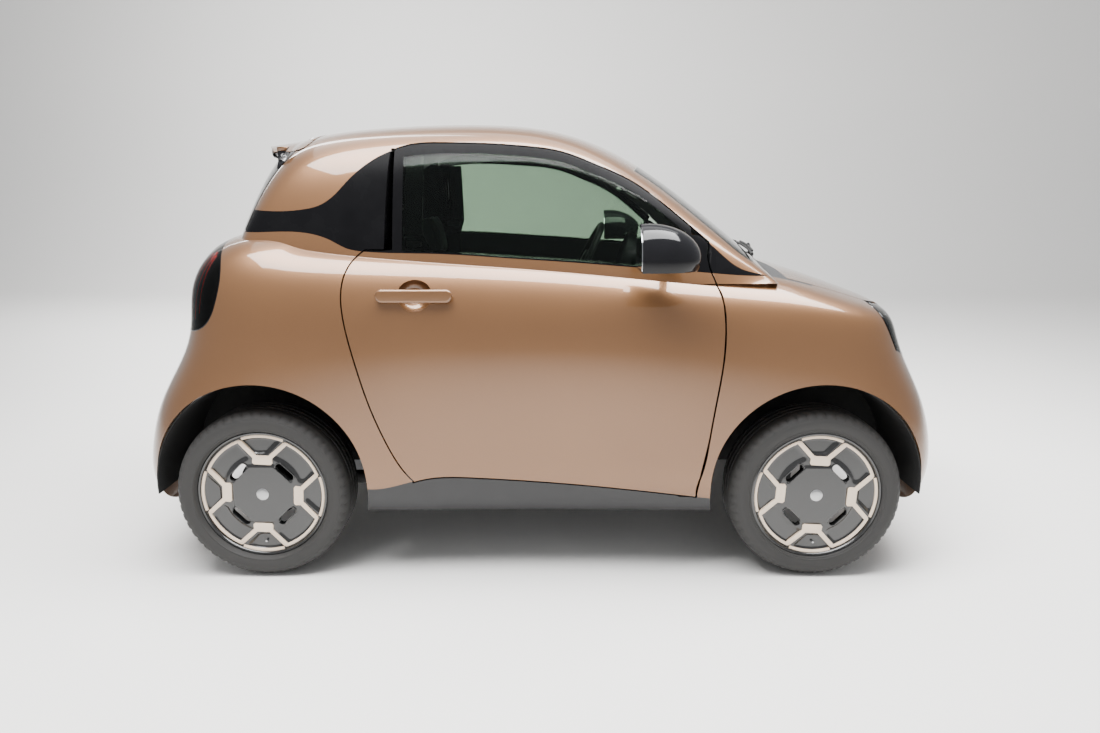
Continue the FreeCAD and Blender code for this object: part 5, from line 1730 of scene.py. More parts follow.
@dataclass
class Headlamps(Lamps):
    """Headlamps: two bright bowls with domes, level fins, and a white and a bright strip by the edge."""

    node: str = "headlamps"
    lens: tuple[str, str] = ("lamp_clear", "lamp_clear")
    centre: tuple[float, float] = (1.08, 0.60)
    low: float = 0.751
    high: float = 0.944
    edge: tuple[Point, Point] = ((1.107, 0.0, 0.941), (1.200, 0.0, 0.741))
    seam: float = 0.004
    bowls: tuple[Point, ...] = ((18, 0.046, 0.034), (58, 0.036, 0.030))
    fin_shares: tuple[float, ...] = (0.20, 0.32, 0.44, 0.56, 0.68, 0.80)
    strip_shares: tuple[float, ...] = (0.10, 0.25, 0.40, 0.55, 0.70, 0.84)
    white_ahead: float = 0.026
    bright_ahead: float = 0.044

    def source(self) -> bpy.types.Mesh:
        """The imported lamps' mesh ahead of a slanted edge; what is behind it becomes painted wing.

        Returns:
            The mesh.
        """
        first, second = Vector(self.edge[0]), Vector(self.edge[1])
        ahead = (first - second).cross(Vector((0, 1, 0))).normalized()
        ahead = ahead if ahead.x > 0 else -ahead
        kept = []
        for shift, wanted in ((0.0, -1.0), (self.seam, 1.0)):
            mesh = self.shop.merged_copy(self.node)
            bm = opened(mesh)
            bpy.data.meshes.remove(mesh)
            made = bmesh.ops.bisect_plane(bm, geom=bm.verts[:] + bm.edges[:] + bm.faces[:], dist=CUT,
                                          plane_co=first + ahead * shift, plane_no=ahead,
                                          clear_inner=wanted > 0, clear_outer=wanted < 0)
            rim = [item for item in made["geom_cut"] if isinstance(item, bmesh.types.BMEdge)]
            bmesh.ops.holes_fill(bm, edges=rim, sides=0)
            part = plain_mesh(bm, self.node)
            part.set_sharp_from_angle(angle=0.5)
            kept.append(part)
        self.shop.skin.smooth(kept[0])
        painted = new_object("wing_corner", kept[0], self.shop.paints["pearl_paint"])
        self.shop.settle(painted, self.shop.body_of(self.node), "paint")
        return kept[1]

    def _beside(self, side: Side, height: float, ahead: float, inset: float = 0.010) -> Vector:
        """A place behind the lens, at some height and some way ahead of the slanted edge.

        Args:
            side: Side of the car.
            height: Height above the floor.
            ahead: Distance ahead of the slanted edge.
            inset: How far behind the lens.

        Returns:
            The place.
        """
        first, second = self.edge
        share = (first[2] - height) / (first[2] - second[2])
        start = Vector((first[0] + (second[0] - first[0]) * share + ahead, side.value * 1.2, height))
        hit, normal, *_ = self.shop.tree(self.node).ray_cast(start, Vector((0, -side.value, 0)))
        inside = Vector((start.x, side.value * self.centre[1], height))
        return hit - normal * inset if hit is not None else inside

    def fill(self, body: str) -> None:
        """Make the bowls, domes, fins and strips.

        Args:
            body: Name of the body that they ride with.
        """
        bowls, domes, fins, tubes = [], [], [], []
        middle, reach = (self.low + self.high) / 2, self.high - self.low
        for side in Side:
            for turn, radius, inset in self.bowls:
                place, out = self.spot(side, middle, turn, inset)
                bowl = [(radius, 0.0), (radius * 1.04, -0.002), (radius * 1.05, 0.004), (radius * 0.7, 0.030),
                        (0.010, 0.038), (0.010, 0.035), (radius * 0.55, 0.024), (radius * 0.86, 0.010)]
                facing = (out + Vector((0.6, 0, 0))).normalized()
                bowls.append(aimed(lathe(bowl, 40, (0, 0, 0), closed=True), place, facing))
                dome = [(0.0001, 0.002), (0.008, 0.003), (0.014, 0.007), (0.0165, 0.014), (0.0165, 0.030)]
                domes.append(aimed(lathe(dome, 32, (0, 0, 0)), place, facing))
            for share in self.fin_shares:
                height = self.low + reach * share
                fins.append(self.fin(side, height, list(range(30, 67, 4)), 0.012, 0.012, 0.004))
            heights = [self.low + reach * share for share in self.strip_shares]
            white = [self._beside(side, height, self.white_ahead) for height in heights]
            bright = [self._beside(side, height, self.bright_ahead) for height in heights[:-1]]
            tubes.append(tube(white, 0.0065))
            fins.append(tube(bright, 0.0055))
            brow = [(self.high - reach * (0.13 + 0.10 * (turn / 90) ** 3), turn)
                    for turn in range(0, 64, 9)]
            tubes.append(self.light_tube(side, brow, 0.012, 0.0045))
        self.piece("bowls", bowls, "chrome", body, "hinge_steel")
        self.piece("domes", domes, "lamp_clear", body, "lamp_clear")
        self.piece("fins", fins, "chrome", body, "hinge_steel")
        self.piece("tubes", tubes, "lamp_white", body, "lamp_clear")


@dataclass
class TailLamps(Lamps):
    """Tail lamps: dark lenses with red tubes that turn down along the corner and one pale strip."""

    node: str = "tail_lamps"
    lens: tuple[str, str] = ("lamp_smoke", "lamp_red")
    centre: tuple[float, float] = (-1.02, 0.60)
    uprights: tuple[Point, ...] = ((119, 0.905, 1.085), (128, 0.885, 1.095), (146, 0.90, 1.09))
    levels: tuple[float, ...] = (0.915, 0.945, 0.975)
    pale_level: float = 1.012

    def fill(self, body: str) -> None:
        """Make the tubes and the strip.

        Args:
            body: Name of the body that they ride with.
        """
        reds, pales = [], []
        for side in Side:
            for turn, low, high in self.uprights:
                heights = np.linspace(low, high, 12)
                reds.append(self.light_tube(side, [(float(z), turn) for z in heights], 0.006, 0.0045))
            pales.append(self.fin(side, self.pale_level, list(range(104, 150, 5)), 0.006, 0.010, 0.004))
            for height in self.levels:
                reds.append(self.fin(side, height, list(range(130, 165, 5)), 0.008, 0.012, 0.012))
        self.piece("red_tubes", reds, "lamp_red", body, "lamp_red")
        self.piece("pale_strip", pales, "lamp_white", body, "lamp_clear")


@dataclass
class Trim:
    """Mirror glasses, wipers, blank plates and the intake's bars."""

    shop: Workshop
    plate: tuple[float, float, float] = (0.520, 0.112, 0.003)
    plate_height: float = 0.535
    bar_half: float = 0.43
    bar_shares: tuple[float, ...] = (0.14, 0.32, 0.50, 0.68, 0.86)
    glass: float = 0.0015
    glass_rim: float = 0.009
    wipers: tuple[Point, ...] = ((-0.58, -0.10, -0.06), (-0.04, 0.44, 0.42))
    wiper_foot: tuple[float, float] = (0.845, 1.046)
    blade_height: float = 1.076

    def build(self) -> None:
        """Make each of them."""
        for side in Side:
            self._mirror_glass(side)
        self._wipers()
        for end in End:
            self._plate(end)
        self._bars()

    def _mirror_glass(self, side: Side) -> None:
        """A glass set into the flat rear face of a mirror.

        Args:
            side: Side of the car.
        """
        node, name = f"door_{side.name.lower()}_mirror", f"mirror_glass_{side.name.lower()}"
        bm = opened(self.shop.frame["nodes"][node].data)
        bmesh.ops.remove_doubles(bm, verts=bm.verts, dist=MERGE)
        bm.normal_update()
        rear = min(vert.co.x for vert in bm.verts) + 0.001
        away = [face for face in bm.faces
                if not (face.normal.x < -0.98 and face.calc_center_median().x < rear)]
        bmesh.ops.delete(bm, geom=away, context="FACES")
        bmesh.ops.inset_region(bm, faces=bm.faces[:], thickness=self.glass_rim, use_boundary=True,
                               use_even_offset=True)
        rim = [face for face in bm.faces if any(len(edge.link_faces) == 1 for edge in face.edges)]
        bmesh.ops.delete(bm, geom=rim, context="FACES")
        piece = new_object(name, closed_up(bm, name), self.shop.paints["mirror_glass"])
        bake(walled(piece, self.glass, 1.0))
        self.shop.settle(piece, self.shop.body_of(node), "hinge_steel")

    def _wipers(self) -> None:
        """Two wipers that lie along the foot of the windscreen."""
        screen, arms, blades = self.shop.tree("windscreen"), [], []
        for start, end, pivot in self.wipers:
            line = []
            for step in range(13):
                y = start + (end - start) * step / 12
                height = self.blade_height + 0.010 * step / 12
                hit, normal, *_ = screen.ray_cast(Vector((1.6, y, height)), Vector((-1, 0, 0)))
                if hit is not None:
                    line.append(hit + normal * 0.012)
            blades.append(tube(line, 0.0055, 8))
            rise = Vector((0.002, 0, 0.008))
            blades.append(tube([spot + rise for spot in line[1:-1]], 0.0040, 8))
            foot = Vector((self.wiper_foot[0], pivot, self.wiper_foot[1]))
            middle = line[len(line) // 2] + rise * 1.6
            bend = foot.lerp(middle, 0.25) + Vector((0.004, 0, 0.008))
            halfway = foot.lerp(bend, 0.5) + Vector((0, 0, 0.003))
            arms.append(tube([foot, halfway, bend, bend.lerp(middle, 0.5), middle], 0.0065))
            cap = [(0.0001, -0.012), (0.012, -0.010), (0.017, -0.004), (0.018, 0.020)]
            arms.append(aimed(lathe(cap, 24, (0, 0, 0)), foot, (0.2, 0, 1)))
        body = self.shop.body_of("windscreen")
        self.shop.add("wiper_arms", joined(arms), "trim_black", body, "trim_black")
        self.shop.add("wiper_blades", joined(blades), "seal_rubber", body, "trim_black")

    def _plate(self, end: End) -> None:
        """A blank plate in its holder.

        Args:
            end: Front or rear.
        """
        node = "front_bumper" if end is End.FRONT else "rear_bumper"
        wide, tall, thick = self.plate
        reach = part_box(node)[1].x if end is End.FRONT else -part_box(node)[0].x
        middle, edge = (self._surface(node, end, y, reach) for y in (0.0, wide / 2))
        out = min(reach - 0.002, middle + 0.008)
        name = f"plate_{end.name.lower()}"
        for part, grow, inner, outer, finish, bevel in (
                ("holder", 0.006, edge - thick - 0.012, out - thick, "trim_black", 0.004),
                ("blank", 0.0, out - thick, out, "plate_blank", 0.0014)):
            first, second = sorted((end.value * inner, end.value * outer))
            bm = slab((first, -wide / 2 - grow, self.plate_height - tall / 2 - grow),
                      (second, wide / 2 + grow, self.plate_height + tall / 2 + grow))
            piece = new_object(f"{name}_{part}", mesh_from(bm, name, 0.5), self.shop.paints[finish])
            finish_modifiers(piece, bevel, segments=3)
            self.shop.settle(piece, self.shop.body_of(node), "trim_black")

    def _surface(self, node: str, end: End, y: float, reach: float) -> float:
        """How far out a bumper's surface is at the plate's height."""
        start, back = Vector((end.value * 2, y, self.plate_height)), Vector((-end.value, 0, 0))
        hit = self.shop.tree(node).ray_cast(start, back)[0]
        return abs(hit.x) if hit is not None else reach - 0.02

    def _bars(self) -> None:
        """Level bars across the air intake."""
        grille, parts = self.shop.tree("grille"), []
        low, high = (corner.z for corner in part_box("grille"))
        for share in self.bar_shares:
            height = low + (high - low) * share
            line = []
            for k in range(25):
                y = self.bar_half * (k / 12 - 1)
                hit = grille.ray_cast(Vector((2.0, y, height)), Vector((-1, 0, 0)))[0]
                if hit is not None:
                    line.append(hit - Vector((0.0045, 0, 0)))
            if len(line) > 2:
                parts.append(tube(line, 0.0048, 8))
        body = self.shop.body_of("grille")
        self.shop.add("intake_bars", joined(parts), "gloss_black", body, "gloss_black")


@dataclass
class Seats:
    """Two padded seats: cushion, leaning back and headrest in cloth, on moulded plinths."""

    shop: Workshop
    half: float = 0.330
    width: float = 0.480
    rear: float = -0.280
    front: float = 0.190
    low: float = 0.410
    top: float = 0.560
    floor: float = 0.290
    back_height: float = 0.590
    back_rear: float = 0.130
    back_front: float = 0.032
    lean_deg: float = 13.0
    rest: Point = (0.090, 0.260, 0.190)
    gap: float = 0.032
    shy: float = 0.016
    cap: float = 0.020
    voxel: float = 0.0094
    rest_voxel: float = 0.007
    seam: float = 0.150
    channels: tuple[float, ...] = (-0.12, -0.04, 0.04, 0.12)
    back_channels: tuple[float, ...] = (0.30, 0.42, 0.54, 0.66, 0.78)

    def build(self) -> None:
        """Make the pads once and set them on both sides."""
        pads = {"cushion": self._cushion(), "back": self._back(), "headrest": self._headrest()}
        body = self.shop.body_of("seats")
        for side in Side:
            word = side.name.lower()
            for name, mesh in pads.items():
                copy = mesh.copy()
                copy.transform(Matrix.Translation((0, side.value * self.half, 0)))
                piece = new_object(f"seat_{name}_{word}", copy, self.shop.paints["seat_cloth"])
                self.shop.settle(piece, body, "seat_cloth", ["seats"] if name == "cushion" else [])
            self._base(side, body)
        for mesh in pads.values():
            bpy.data.meshes.remove(mesh)

    def _leaning(self, bm: bmesh.types.BMesh) -> bmesh.types.BMesh:
        """Lean a shape back about the hip.

        Args:
            bm: The shape.

        Returns:
            The same shape.
        """
        hip = Matrix.Translation((self.rear, 0, self.low))
        turn = Matrix.Rotation(math.radians(-self.lean_deg), 4, "Y")
        bmesh.ops.transform(bm, matrix=hip @ turn @ hip.inverted(), verts=bm.verts)
        return bm

    def _pad(self, bm: bmesh.types.BMesh, name: str, round_by: float, voxel: float) -> bpy.types.Object:
        """Round a pad's edges and puff it.

        Args:
            bm: The shape.
            name: Name of the pad.
            round_by: Radius of its edges.
            voxel: Size of the cells that its skin is rebuilt in.

        Returns:
            The pad.
        """
        piece = new_object(name, mesh_from(bm, name, 3.1), self.shop.paints["seat_cloth"])
        finish_modifiers(piece, round_by, segments=4)
        swell(piece, voxel, self.cap)
        return piece

    def _taken(self, piece: bpy.types.Object) -> bpy.types.Mesh:
        """A pad's mesh, without its object."""
        mesh = piece.data
        bpy.data.objects.remove(piece)
        return mesh

    def _cushion(self) -> bpy.types.Mesh:
        """The cushion, with raised sides and sewn channels across its middle.

        Returns:
            The mesh.
        """
        side = self.width / 2 - self.shy
        bm = slab((self.rear + self.shy, -side, self.low + self.shy),
                  (self.front - self.shy, side, self.top - self.shy), 7)
        length = self.front - self.rear
        for vert in bm.verts:
            along, across = (vert.co.x - self.rear) / length, abs(vert.co.y) / side
            rise = (vert.co.z - self.low) / (self.top - self.low)
            bolster = ease((across - 0.5) / 0.3)
            vert.co.z += rise * (0.014 * bolster - 0.010 * (1 - bolster))
            vert.co.z -= rise * 0.020 * ease((along - 0.8) / 0.2)
            vert.co.y *= 1 - 0.05 * ease(1 - along * 3)
        piece = self._pad(bm, "cushion", 0.030, self.voxel)

        def away(places: np.ndarray) -> np.ndarray:
            """Distance to the nearest seam."""
            nearest = self._seams(places, self.seam, places[:, 0], self.channels)
            return np.where(places[:, 2] > self.low + 0.08, nearest, 1.0)

        sew(piece.data, away)
        return self._taken(piece)

    def _seams(self, places: np.ndarray, inner: Any, along: np.ndarray,
               spots: Sequence[float]) -> np.ndarray:
        """Distance to the nearest of two side seams and the cross seams between them.

        Args:
            places: The places.
            inner: How far the side seams lie from the middle.
            along: Each place's own measure that the cross seams are told by.
            spots: The cross seams' measures.

        Returns:
            The distances.
        """
        side_seam = np.abs(np.abs(places[:, 1]) - inner)
        cross = np.min([np.abs(along - spot) for spot in spots], axis=0)
        return np.minimum(side_seam, np.where(np.abs(places[:, 1]) < inner, cross, 1.0))

    def _back(self) -> bpy.types.Mesh:
        """The back, narrower above, with side bolsters and sewn channels.

        Returns:
            The mesh.
        """
        side = self.width / 2 - self.shy
        crown = self.low + self.back_height
        bm = slab((self.rear - self.back_rear + self.shy, -side, self.low + 0.09),
                  (self.rear + self.back_front - self.shy, side, crown - self.shy), 7)
        for vert in bm.verts:
            up = (vert.co.z - self.low) / self.back_height
            across = abs(vert.co.y) / side
            front = (vert.co.x - self.rear + self.back_rear) / (self.back_rear + self.back_front)
            vert.co.x += front * 0.022 * ease((across - 0.5) / 0.35) * ease((0.85 - up) / 0.3)
            vert.co.x += front * 0.010 * math.sin(math.pi * up) * (1 - across)
            vert.co.y *= 1 - 0.20 * ease((up - 0.35) / 0.65)
            vert.co.z -= 0.020 * ease((across - 0.4) / 0.6) * ease((up - 0.8) / 0.2)
        piece = self._pad(bm, "back", 0.032, self.voxel)
        levels = [self.low + self.back_height * share for share in self.back_channels]

        def away(places: np.ndarray) -> np.ndarray:
            """Distance to the nearest seam."""
            inner = self.seam - 0.030 * (places[:, 2] - self.low) / self.back_height
            nearest = self._seams(places, inner, places[:, 2], levels)
            return np.where(places[:, 0] > self.rear - 0.04, nearest, 1.0)

        sew(piece.data, away)
        return self._leant(piece)

    def _leant(self, piece: bpy.types.Object) -> bpy.types.Mesh:
        """A pad's mesh, leaning as the back does.

        Args:
            piece: The pad, used up here.

        Returns:
            The mesh.
        """
        bm = opened(piece.data)
        self._leaning(bm).to_mesh(piece.data)
        bm.free()
        return self._taken(piece)

    def _headrest(self) -> bpy.types.Mesh:
        """The headrest, bowed forward a little, with a seam round its edge.

        Returns:
            The mesh.
        """
        thick, wide, tall = self.rest
        low = self.low + self.back_height + self.gap
        bm = slab((self.rear - thick + 0.012, -wide / 2 + 0.012, low + 0.010),
                  (self.rear - 0.012, wide / 2 - 0.012, low + tall - 0.012), 5)
        for vert in bm.verts:
            across, up = abs(vert.co.y) / (wide / 2), (vert.co.z - low) / tall
            vert.co.y *= 1 - 0.16 * up * up
            vert.co.x -= 0.010 * across * across
        piece = self._pad(bm, "headrest", 0.026, self.rest_voxel)
        middle = self.rear - thick * 0.35

        def away(places: np.ndarray) -> np.ndarray:
            """Distance to the nearest seam."""
            return np.abs(places[:, 0] - middle)

        sew(piece.data, away, 0.003, 0.004)
        return self._leant(piece)

    def _base(self, side: Side, body: str) -> None:
        """The plinth, the side shields, the back's foot and the headrest's stalks.

        Args:
            side: Side of the seat.
            body: Name of the body that they ride with.
        """
        y, half = side.value * self.half, self.width / 2
        word = side.name.lower()
        plinth = slab((self.rear + 0.02, y - half + 0.05, self.floor),
                      (self.front - 0.10, y + half - 0.05, self.low + 0.03), 2)
        for vert in plinth.verts:
            share = (vert.co.z - self.floor) / (self.low - self.floor)
            vert.co.y = y + (vert.co.y - y) * (0.86 + 0.14 * share)
        parts = [plinth]
        for flip in (-1, 1):
            edge = y + flip * (half - 0.012)
            parts.append(slab((self.rear - 0.02, min(edge, edge + flip * 0.010), self.low - 0.02),
                              (self.front - 0.09, max(edge, edge + flip * 0.010), self.low + 0.055), 2))
        piece = new_object(f"seat_base_{word}", mesh_from(joined(parts), "seat_base", 0.5, 0.0),
                           self.shop.paints["cabin_black"])
        finish_modifiers(piece, 0.006, segments=3)
        self.shop.settle(piece, body, "cabin_plastic")
        stalks = []
        crown = self.low + self.back_height
        for flip in (-1, 1):
            x, across = self.rear - 0.045, y + flip * 0.062
            foot, tip = (x, across, crown - 0.10), (x, across, crown + self.gap + 0.06)
            stalks.append(tube([foot, tip], 0.006, 12))
        self.shop.add(f"seat_stalks_{word}", self._leaning(joined(stalks)), "chrome", body,
                      "hinge_steel", merge=CUT)


@dataclass
class Cabin:
    """Fittings inside: linings, pod, screen, vents, console, pedals, mats, belts and mirror."""

    shop: Workshop
    repeater: Repeater
    pod: Point = (0.372, 0.330, 1.020)
    dash_face: float = 0.305
    vents: tuple[float, ...] = (-0.52, -0.20, 0.20, 0.545)
    vent_height: float = 0.905
    floor: float = 0.290
    lining: float = 0.0018
    belt: float = 0.0016

    def build(self) -> None:
        """Make each fitting."""
        for node, finish in (("door_right_panel", "cabin_grey"), ("door_left_panel", "cabin_grey"),
                             ("roof_shell", "cabin_pale"), ("rear_quarters", "cabin_grey")):
            self._lining(node, finish)
        self._pod()
        self._centre()
        self._vents()
        self._pedals()
        self._mats()
        self._belts()
        self._rear_mirror()
        for side in Side:
            self._armrest(side)

    def _add(self, name: str, bm: bmesh.types.BMesh, finish: str = "cabin_black",
             slot: str = "cabin_plastic", node: str = "dashboard", bevel: float = 0.0) -> None:
        """Turn a shape into a finished fitting that rides with a node.

        Args:
            name: Name of the piece.
            bm: The shape.
            finish: Name of the finish.
            slot: Name of the material slot.
            node: Node whose body it rides with.
            bevel: Radius of its edges, or 0.
        """
        piece = new_object(name, mesh_from(bm, name, 0.6, 0.0), self.shop.paints[finish])
        if bevel:
            finish_modifiers(piece, bevel, segments=3)
        self.shop.settle(piece, self.shop.body_of(node), slot)

    def _repeated(self, name: str, bm: bmesh.types.BMesh, finish: str, slot: str, node: str, count: int,
                  start: Point, step: Point) -> None:
        """Repeat a small shape in a row as one fitting."""
        piece = new_object(name, mesh_from(bm, name, 0.5), self.shop.paints[finish])
        self.repeater.repeat(piece, count, start, step)
        self.shop.settle(piece, self.shop.body_of(node), slot)

    def _lining(self, node: str, finish: str) -> None:
        """A thin lining over the faces that a panel turns to the cabin.

        Args:
            node: Name of the panel.
            finish: Name of the finish.
        """
        mesh = self.shop.merged_copy(node)
        away = self.shop.skin.away(mesh)
        bm = opened(mesh)
        bpy.data.meshes.remove(mesh)
        bm.normal_update()
        outside = []
        for face in bm.faces:
            middle = face.calc_center_median()
            inward = Vector((max(-0.5, min(0.5, middle.x)), 0, 0.95)) - middle
            deep = sum(away[vert.index] for vert in face.verts) > 0.007 * len(face.verts)
            if not (deep and face.normal.dot(inward.normalized()) > 0.35):
                outside.append(face)
        bmesh.ops.delete(bm, geom=outside, context="FACES")
        name = f"{node}_lining"
        piece = new_object(name, plain_mesh(bm, name), self.shop.paints[finish])
        bake(walled(piece, self.lining, 1.0))
        self.shop.settle(piece, self.shop.body_of(node), "cabin_plastic")

    def _turned(self, profile: Sequence[tuple[float, float]], steps: int, spot: Point, facing: Point,
                closed: bool = False) -> bmesh.types.BMesh:
        """A turned shape put at a place and pointed in a direction."""
        return aimed(lathe(profile, steps, (0, 0, 0), closed), spot, facing)

    def _pod(self) -> None:
        """The round instrument pod above the column, with its dark dial."""
        pod = [(0.0001, 0.075), (0.060, 0.070), (0.092, 0.045), (0.098, 0.010), (0.100, -0.012),
               (0.094, -0.016), (0.090, -0.004), (0.086, 0.020), (0.0001, 0.022)]
        self._add("instrument_pod", self._turned(pod, 56, self.pod, (-1, 0, 0.35)))
        dial = [(0.0001, 0.013), (0.080, 0.013), (0.084, 0.018)]
        self._add("instrument_dial", self._turned(dial, 56, self.pod, (-1, 0, 0.35)),
                  "gloss_black", "gloss_black")

    def _centre(self) -> None:
        """The blank screen, its frame, the console, the selector and the lever."""
        face = self.dash_face
        self._add("screen_frame", slab((face - 0.012, -0.135, 0.845), (face + 0.03, 0.135, 0.985), 1),
                  bevel=0.010)
        for name, low, high, cuts, bevel in (
                ("screen", (face - 0.0145, -0.120, 0.858), (face - 0.010, 0.120, 0.972), 0, 0.002),
                ("climate_panel", (face + 0.008, -0.110, 0.755), (face + 0.05, 0.110, 0.820), 1, 0.006)):
            self._add(name, slab(low, high, cuts), "gloss_black", "gloss_black", bevel=bevel)
        knob = [(0.0001, -0.016), (0.014, -0.016), (0.017, -0.012), (0.018, 0.004)]
        knobs = [self._turned(knob, 32, (face + 0.008, y, 0.788), (-1, 0, 0))
                 for y in (-0.075, 0.0, 0.075)]
        self._add("climate_knobs", joined(knobs), "bright_steel", "hinge_steel")
        console = slab((-0.20, -0.075, self.floor), (0.36, 0.075, 0.44), 4)
        for vert in console.verts:
            rise = (vert.co.z - self.floor) / 0.15
            vert.co.z += rise * 0.10 * ease((vert.co.x - 0.10) / 0.26)
        self._add("console", console, bevel=0.012)
        gaiter = [(0.0001, -0.030), (0.018, -0.028), (0.030, -0.012), (0.044, 0.0), (0.048, 0.012)]
        grip = [(0.0001, -0.034), (0.014, -0.032), (0.022, -0.020), (0.023, -0.006), (0.014, 0.010),
                (0.0001, 0.012)]
        parts = [self._turned(gaiter, 32, (0.06, 0, 0.452), (0, 0, 1)),
                 tube([(0.06, 0, 0.46), (0.062, 0, 0.50), (0.060, 0, 0.53)], 0.008, 12),
                 self._turned(grip, 28, (0.060, 0, 0.535), (0, 0, 1))]
        self._add("selector", joined(parts), "grip_leather")

    def _vents(self) -> None:
        """Four round air vents, each with level slats."""
        x, z = self.dash_face - 0.005, self.vent_height
        ring = [(0.036, -0.012), (0.043, -0.010), (0.046, 0.0), (0.044, 0.020), (0.034, 0.020),
                (0.034, -0.004)]
        for index, y in enumerate(self.vents):
            self._add(f"vent_ring_{index}", self._turned(ring, 40, (x, y, z), (-1, 0, 0), True),
                      "bright_steel", "hinge_steel")
            slat = slab((-0.010, -0.031, -0.0012), (0.010, 0.031, 0.0012))
            self._repeated(f"vent_slats_{index}", slat, "cabin_black", "cabin_plastic", "dashboard",
                           7, (x + 0.006, y, z - 0.024), (0, 0, 0.008))

    def _pedals(self) -> None:
        """Two hanging pedals."""
        parts = []
        for y, wide, low, high in ((0.265, 0.052, 0.375, 0.485), (0.365, 0.085, 0.400, 0.460)):
            parts.append(slab((0.452, y - wide / 2, low), (0.464, y + wide / 2, high), 1))
            parts.append(tube([(0.464, y, (low + high) / 2), (0.490, y, high + 0.02), (0.490, y, 0.60),
                               (0.465, y, 0.70)], 0.007))
        self._add("pedals", joined(parts))

    def _mats(self) -> None:
        """A ribbed rubber mat in each foot well."""
        for side in Side:
            y, word = side.value * 0.33, side.name.lower()
            mat = slab((0.205, y - 0.20, self.floor + 0.0005), (0.53, y + 0.20, self.floor + 0.006), 3)
            self._add(f"mat_{word}", mat, "seal_rubber", "trim_black", "floor_frame", 0.002)
            rib = slab((-0.003, -0.18, 0), (0.003, 0.18, 0.003))
            self._repeated(f"mat_ribs_{word}", rib, "seal_rubber", "trim_black", "floor_frame",
                           18, (0.225, y, self.floor + 0.0055), (0.0165, 0, 0))

    def _belts(self) -> None:
        """A belt from each side's post down to the seat."""
        for side in Side:
            s, word = side.value, side.name.lower()
            bm = bmesh.new()
            rows = [[bm.verts.new((x + off, s * y, z)) for off in (-0.023, 0.023)]
                    for x, y, z in ((-0.430, 0.600, 1.120), (-0.425, 0.598, 0.95), (-0.418, 0.600, 0.70),
                                    (-0.410, 0.604, 0.46))]
            band(bm, rows, False)
            piece = new_object(f"belt_{word}", mesh_from(bm, "belt", 0.6), self.shop.paints["belt_web"])
            finish_modifiers(walled(piece, self.belt, 0.0), subdivide=2)
            self.shop.settle(piece, self.shop.body_of("floor_frame"), "cabin_plastic")
            guide = slab((-0.462, s * 0.606 - 0.008, 1.112), (-0.398, s * 0.606 + 0.008, 1.150), 1)
            self._add(f"belt_guide_{word}", guide, node="floor_frame", bevel=0.006)

    def _rear_mirror(self) -> None:
        """The mirror behind the windscreen, hung from the header."""
        case = slab((0.318, -0.115, 1.292), (0.346, 0.115, 1.352), 2)
        for vert in case.verts:
            vert.co.z += 0.006 * (1 - (vert.co.y / 0.115) ** 2)
        self._add("inner_mirror", case, node="roof_shell", bevel=0.010)
        self._add("inner_mirror_glass", slab((0.3150, -0.104, 1.302), (0.3185, 0.104, 1.346), 1),
                  "mirror_glass", "hinge_steel", "roof_shell", 0.001)
        self._add("inner_mirror_stem",
                  tube([(0.340, 0, 1.34), (0.352, 0, 1.362), (0.350, 0, 1.395)], 0.008, 14),
                  node="roof_shell")

    def _armrest(self, side: Side) -> None:
        """The armrest, pull and pocket on a door's lining.

        Args:
            side: Side of the door.
        """
        node, s = f"door_{side.name.lower()}_panel", side.value
        door, parts = self.shop.tree(node), []
        for low, high, x0, x1, proud in ((0.790, 0.835, -0.30, 0.22, 0.050),
                                         (0.400, 0.520, -0.35, 0.36, 0.030)):
            height = (low + high) / 2
            hit = door.ray_cast(Vector((0.0, 0.0, height)), Vector((0, s, 0)))[0]
            wall = abs(hit.y) if hit is not None else 0.70
            first, second = sorted((s * (wall - proud), s * (wall + 0.004)))
            shape = slab((x0, first, low), (x1, second, high), 4)
            for vert in shape.verts:
                share = (vert.co.x - x0) / (x1 - x0)
                bow = math.sin(math.pi * min(1, max(0, share))) * 0.35 + 0.65
                if abs(vert.co.y) < wall:
                    vert.co.y = s * (wall - (wall - abs(vert.co.y)) * bow)
            parts.append(shape)
        self._add(f"door_card_{side.name.lower()}", joined(parts), node=node, bevel=0.008)


# Camera and studio.


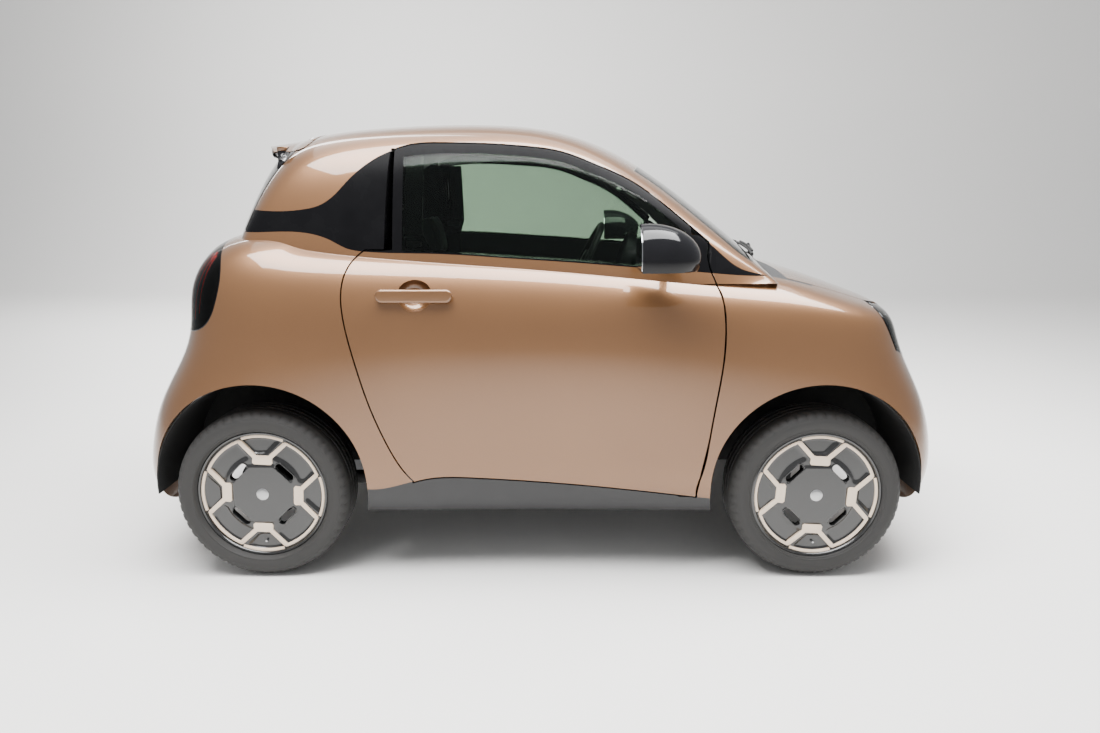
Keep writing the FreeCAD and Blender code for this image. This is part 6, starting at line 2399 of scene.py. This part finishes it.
@dataclass
class Studio:
    """Floor, backdrop, soft lights and the photograph's camera."""

    lens: float = 27.13
    eye: Point = (0.037, -3.449, 1.3026)
    tip_deg: float = 12.064
    lamps: tuple[tuple[str, Point, Point, tuple[float, float], float], ...] = (
        ("key", (0.2, -1.2, 4.6), (0, -0.7, 0.9), (6.0, 2.3), 1000),
        ("top", (0.0, 0.8, 5.0), (0, 0, 0.5), (6.0, 3.0), 120),
        ("back", (-3.0, 3.0, 4.0), (0, 6.0, 2.0), (6.0, 3.0), 760),
    )
    sky: tuple[float, float, float, float] = (0.75, 0.76, 0.78, 1.0)
    sky_power: float = 0.79

    def build(self) -> None:
        """Make the stage, the lights and the camera."""
        self._camera()
        self._stage()
        for name, spot, target, size, power in self.lamps:
            self._lamp(name, spot, target, size, power)

    def _camera(self) -> None:
        """The camera, looking along +Y and a little down."""
        data = bpy.data.cameras.new("camera")
        data.lens, data.sensor_width = self.lens, 36.0
        made = bpy.data.objects.new("camera", data)
        bpy.context.scene.collection.objects.link(made)
        made.location = self.eye
        made.rotation_euler = (math.radians(90 - self.tip_deg), 0, 0)
        bpy.context.scene.camera = made

    def _stage(self) -> None:
        """A pale floor that curves up behind the car."""
        bm = bmesh.new()
        rows = []
        for step in range(25):
            turn = math.radians(90 * max(0, step - 1) / 23)
            y = -12 if step == 0 else 7 + 3 * math.sin(turn)
            z = 0 if step == 0 else 3 - 3 * math.cos(turn)
            rows.append([bm.verts.new((x, y, z - 0.001)) for x in (-16, 16)])
        rows.append([bm.verts.new((x, 10, 9)) for x in (-16, 16)])
        band(bm, rows, False)
        g = Graph("studio_floor")
        tone = g.blend(g.noise(1.2, 4.0) * 0.3, (0.82, 0.81, 0.79), (0.77, 0.76, 0.74))
        g.surface(Base_Color=tone, Roughness=0.6)
        floor = new_object("studio_floor", mesh_from(bm, "studio_floor"), g.material)
        world = bpy.data.worlds.new("studio")
        bpy.context.scene.world = world
        world.use_nodes = True
        background = world.node_tree.nodes["Background"]
        background.inputs[0].default_value = self.sky
        background.inputs[1].default_value = self.sky_power

    def _lamp(self, name: str, spot: Point, target: Point, size: tuple[float, float],
              power: float) -> None:
        """One soft rectangular light.

        Args:
            name: Name of the light.
            spot: Its place.
            target: Where it points.
            size: Its two edges.
            power: Its power in watts.
        """
        data = bpy.data.lights.new(name, "AREA")
        data.shape, data.energy = "RECTANGLE", power
        data.size, data.size_y = size
        made = bpy.data.objects.new(name, data)
        bpy.context.scene.collection.objects.link(made)
        made.location = spot
        made.rotation_euler = (Vector(target) - Vector(spot)).to_track_quat("-Z", "Y").to_euler()


def main() -> None:
    """Dress the car and set up the studio."""
    logging.basicConfig(level=logging.INFO, format="%(name)s %(message)s")
    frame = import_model()
    Studio().build()
    shop = Workshop(frame)
    Shell(shop).build()
    LipPaint(shop).build()
    PostTrim(shop).build()
    Undercarriage(shop).build()
    Headlamps(shop).build()
    TailLamps(shop).build()
    Trim(shop).build()
    Seats(shop).build()
    Cabin(shop, Repeater()).build()
    for end in End:
        for side in Side:
            Wheel(shop, side, end).build()


if __name__ == "__main__":
    main()
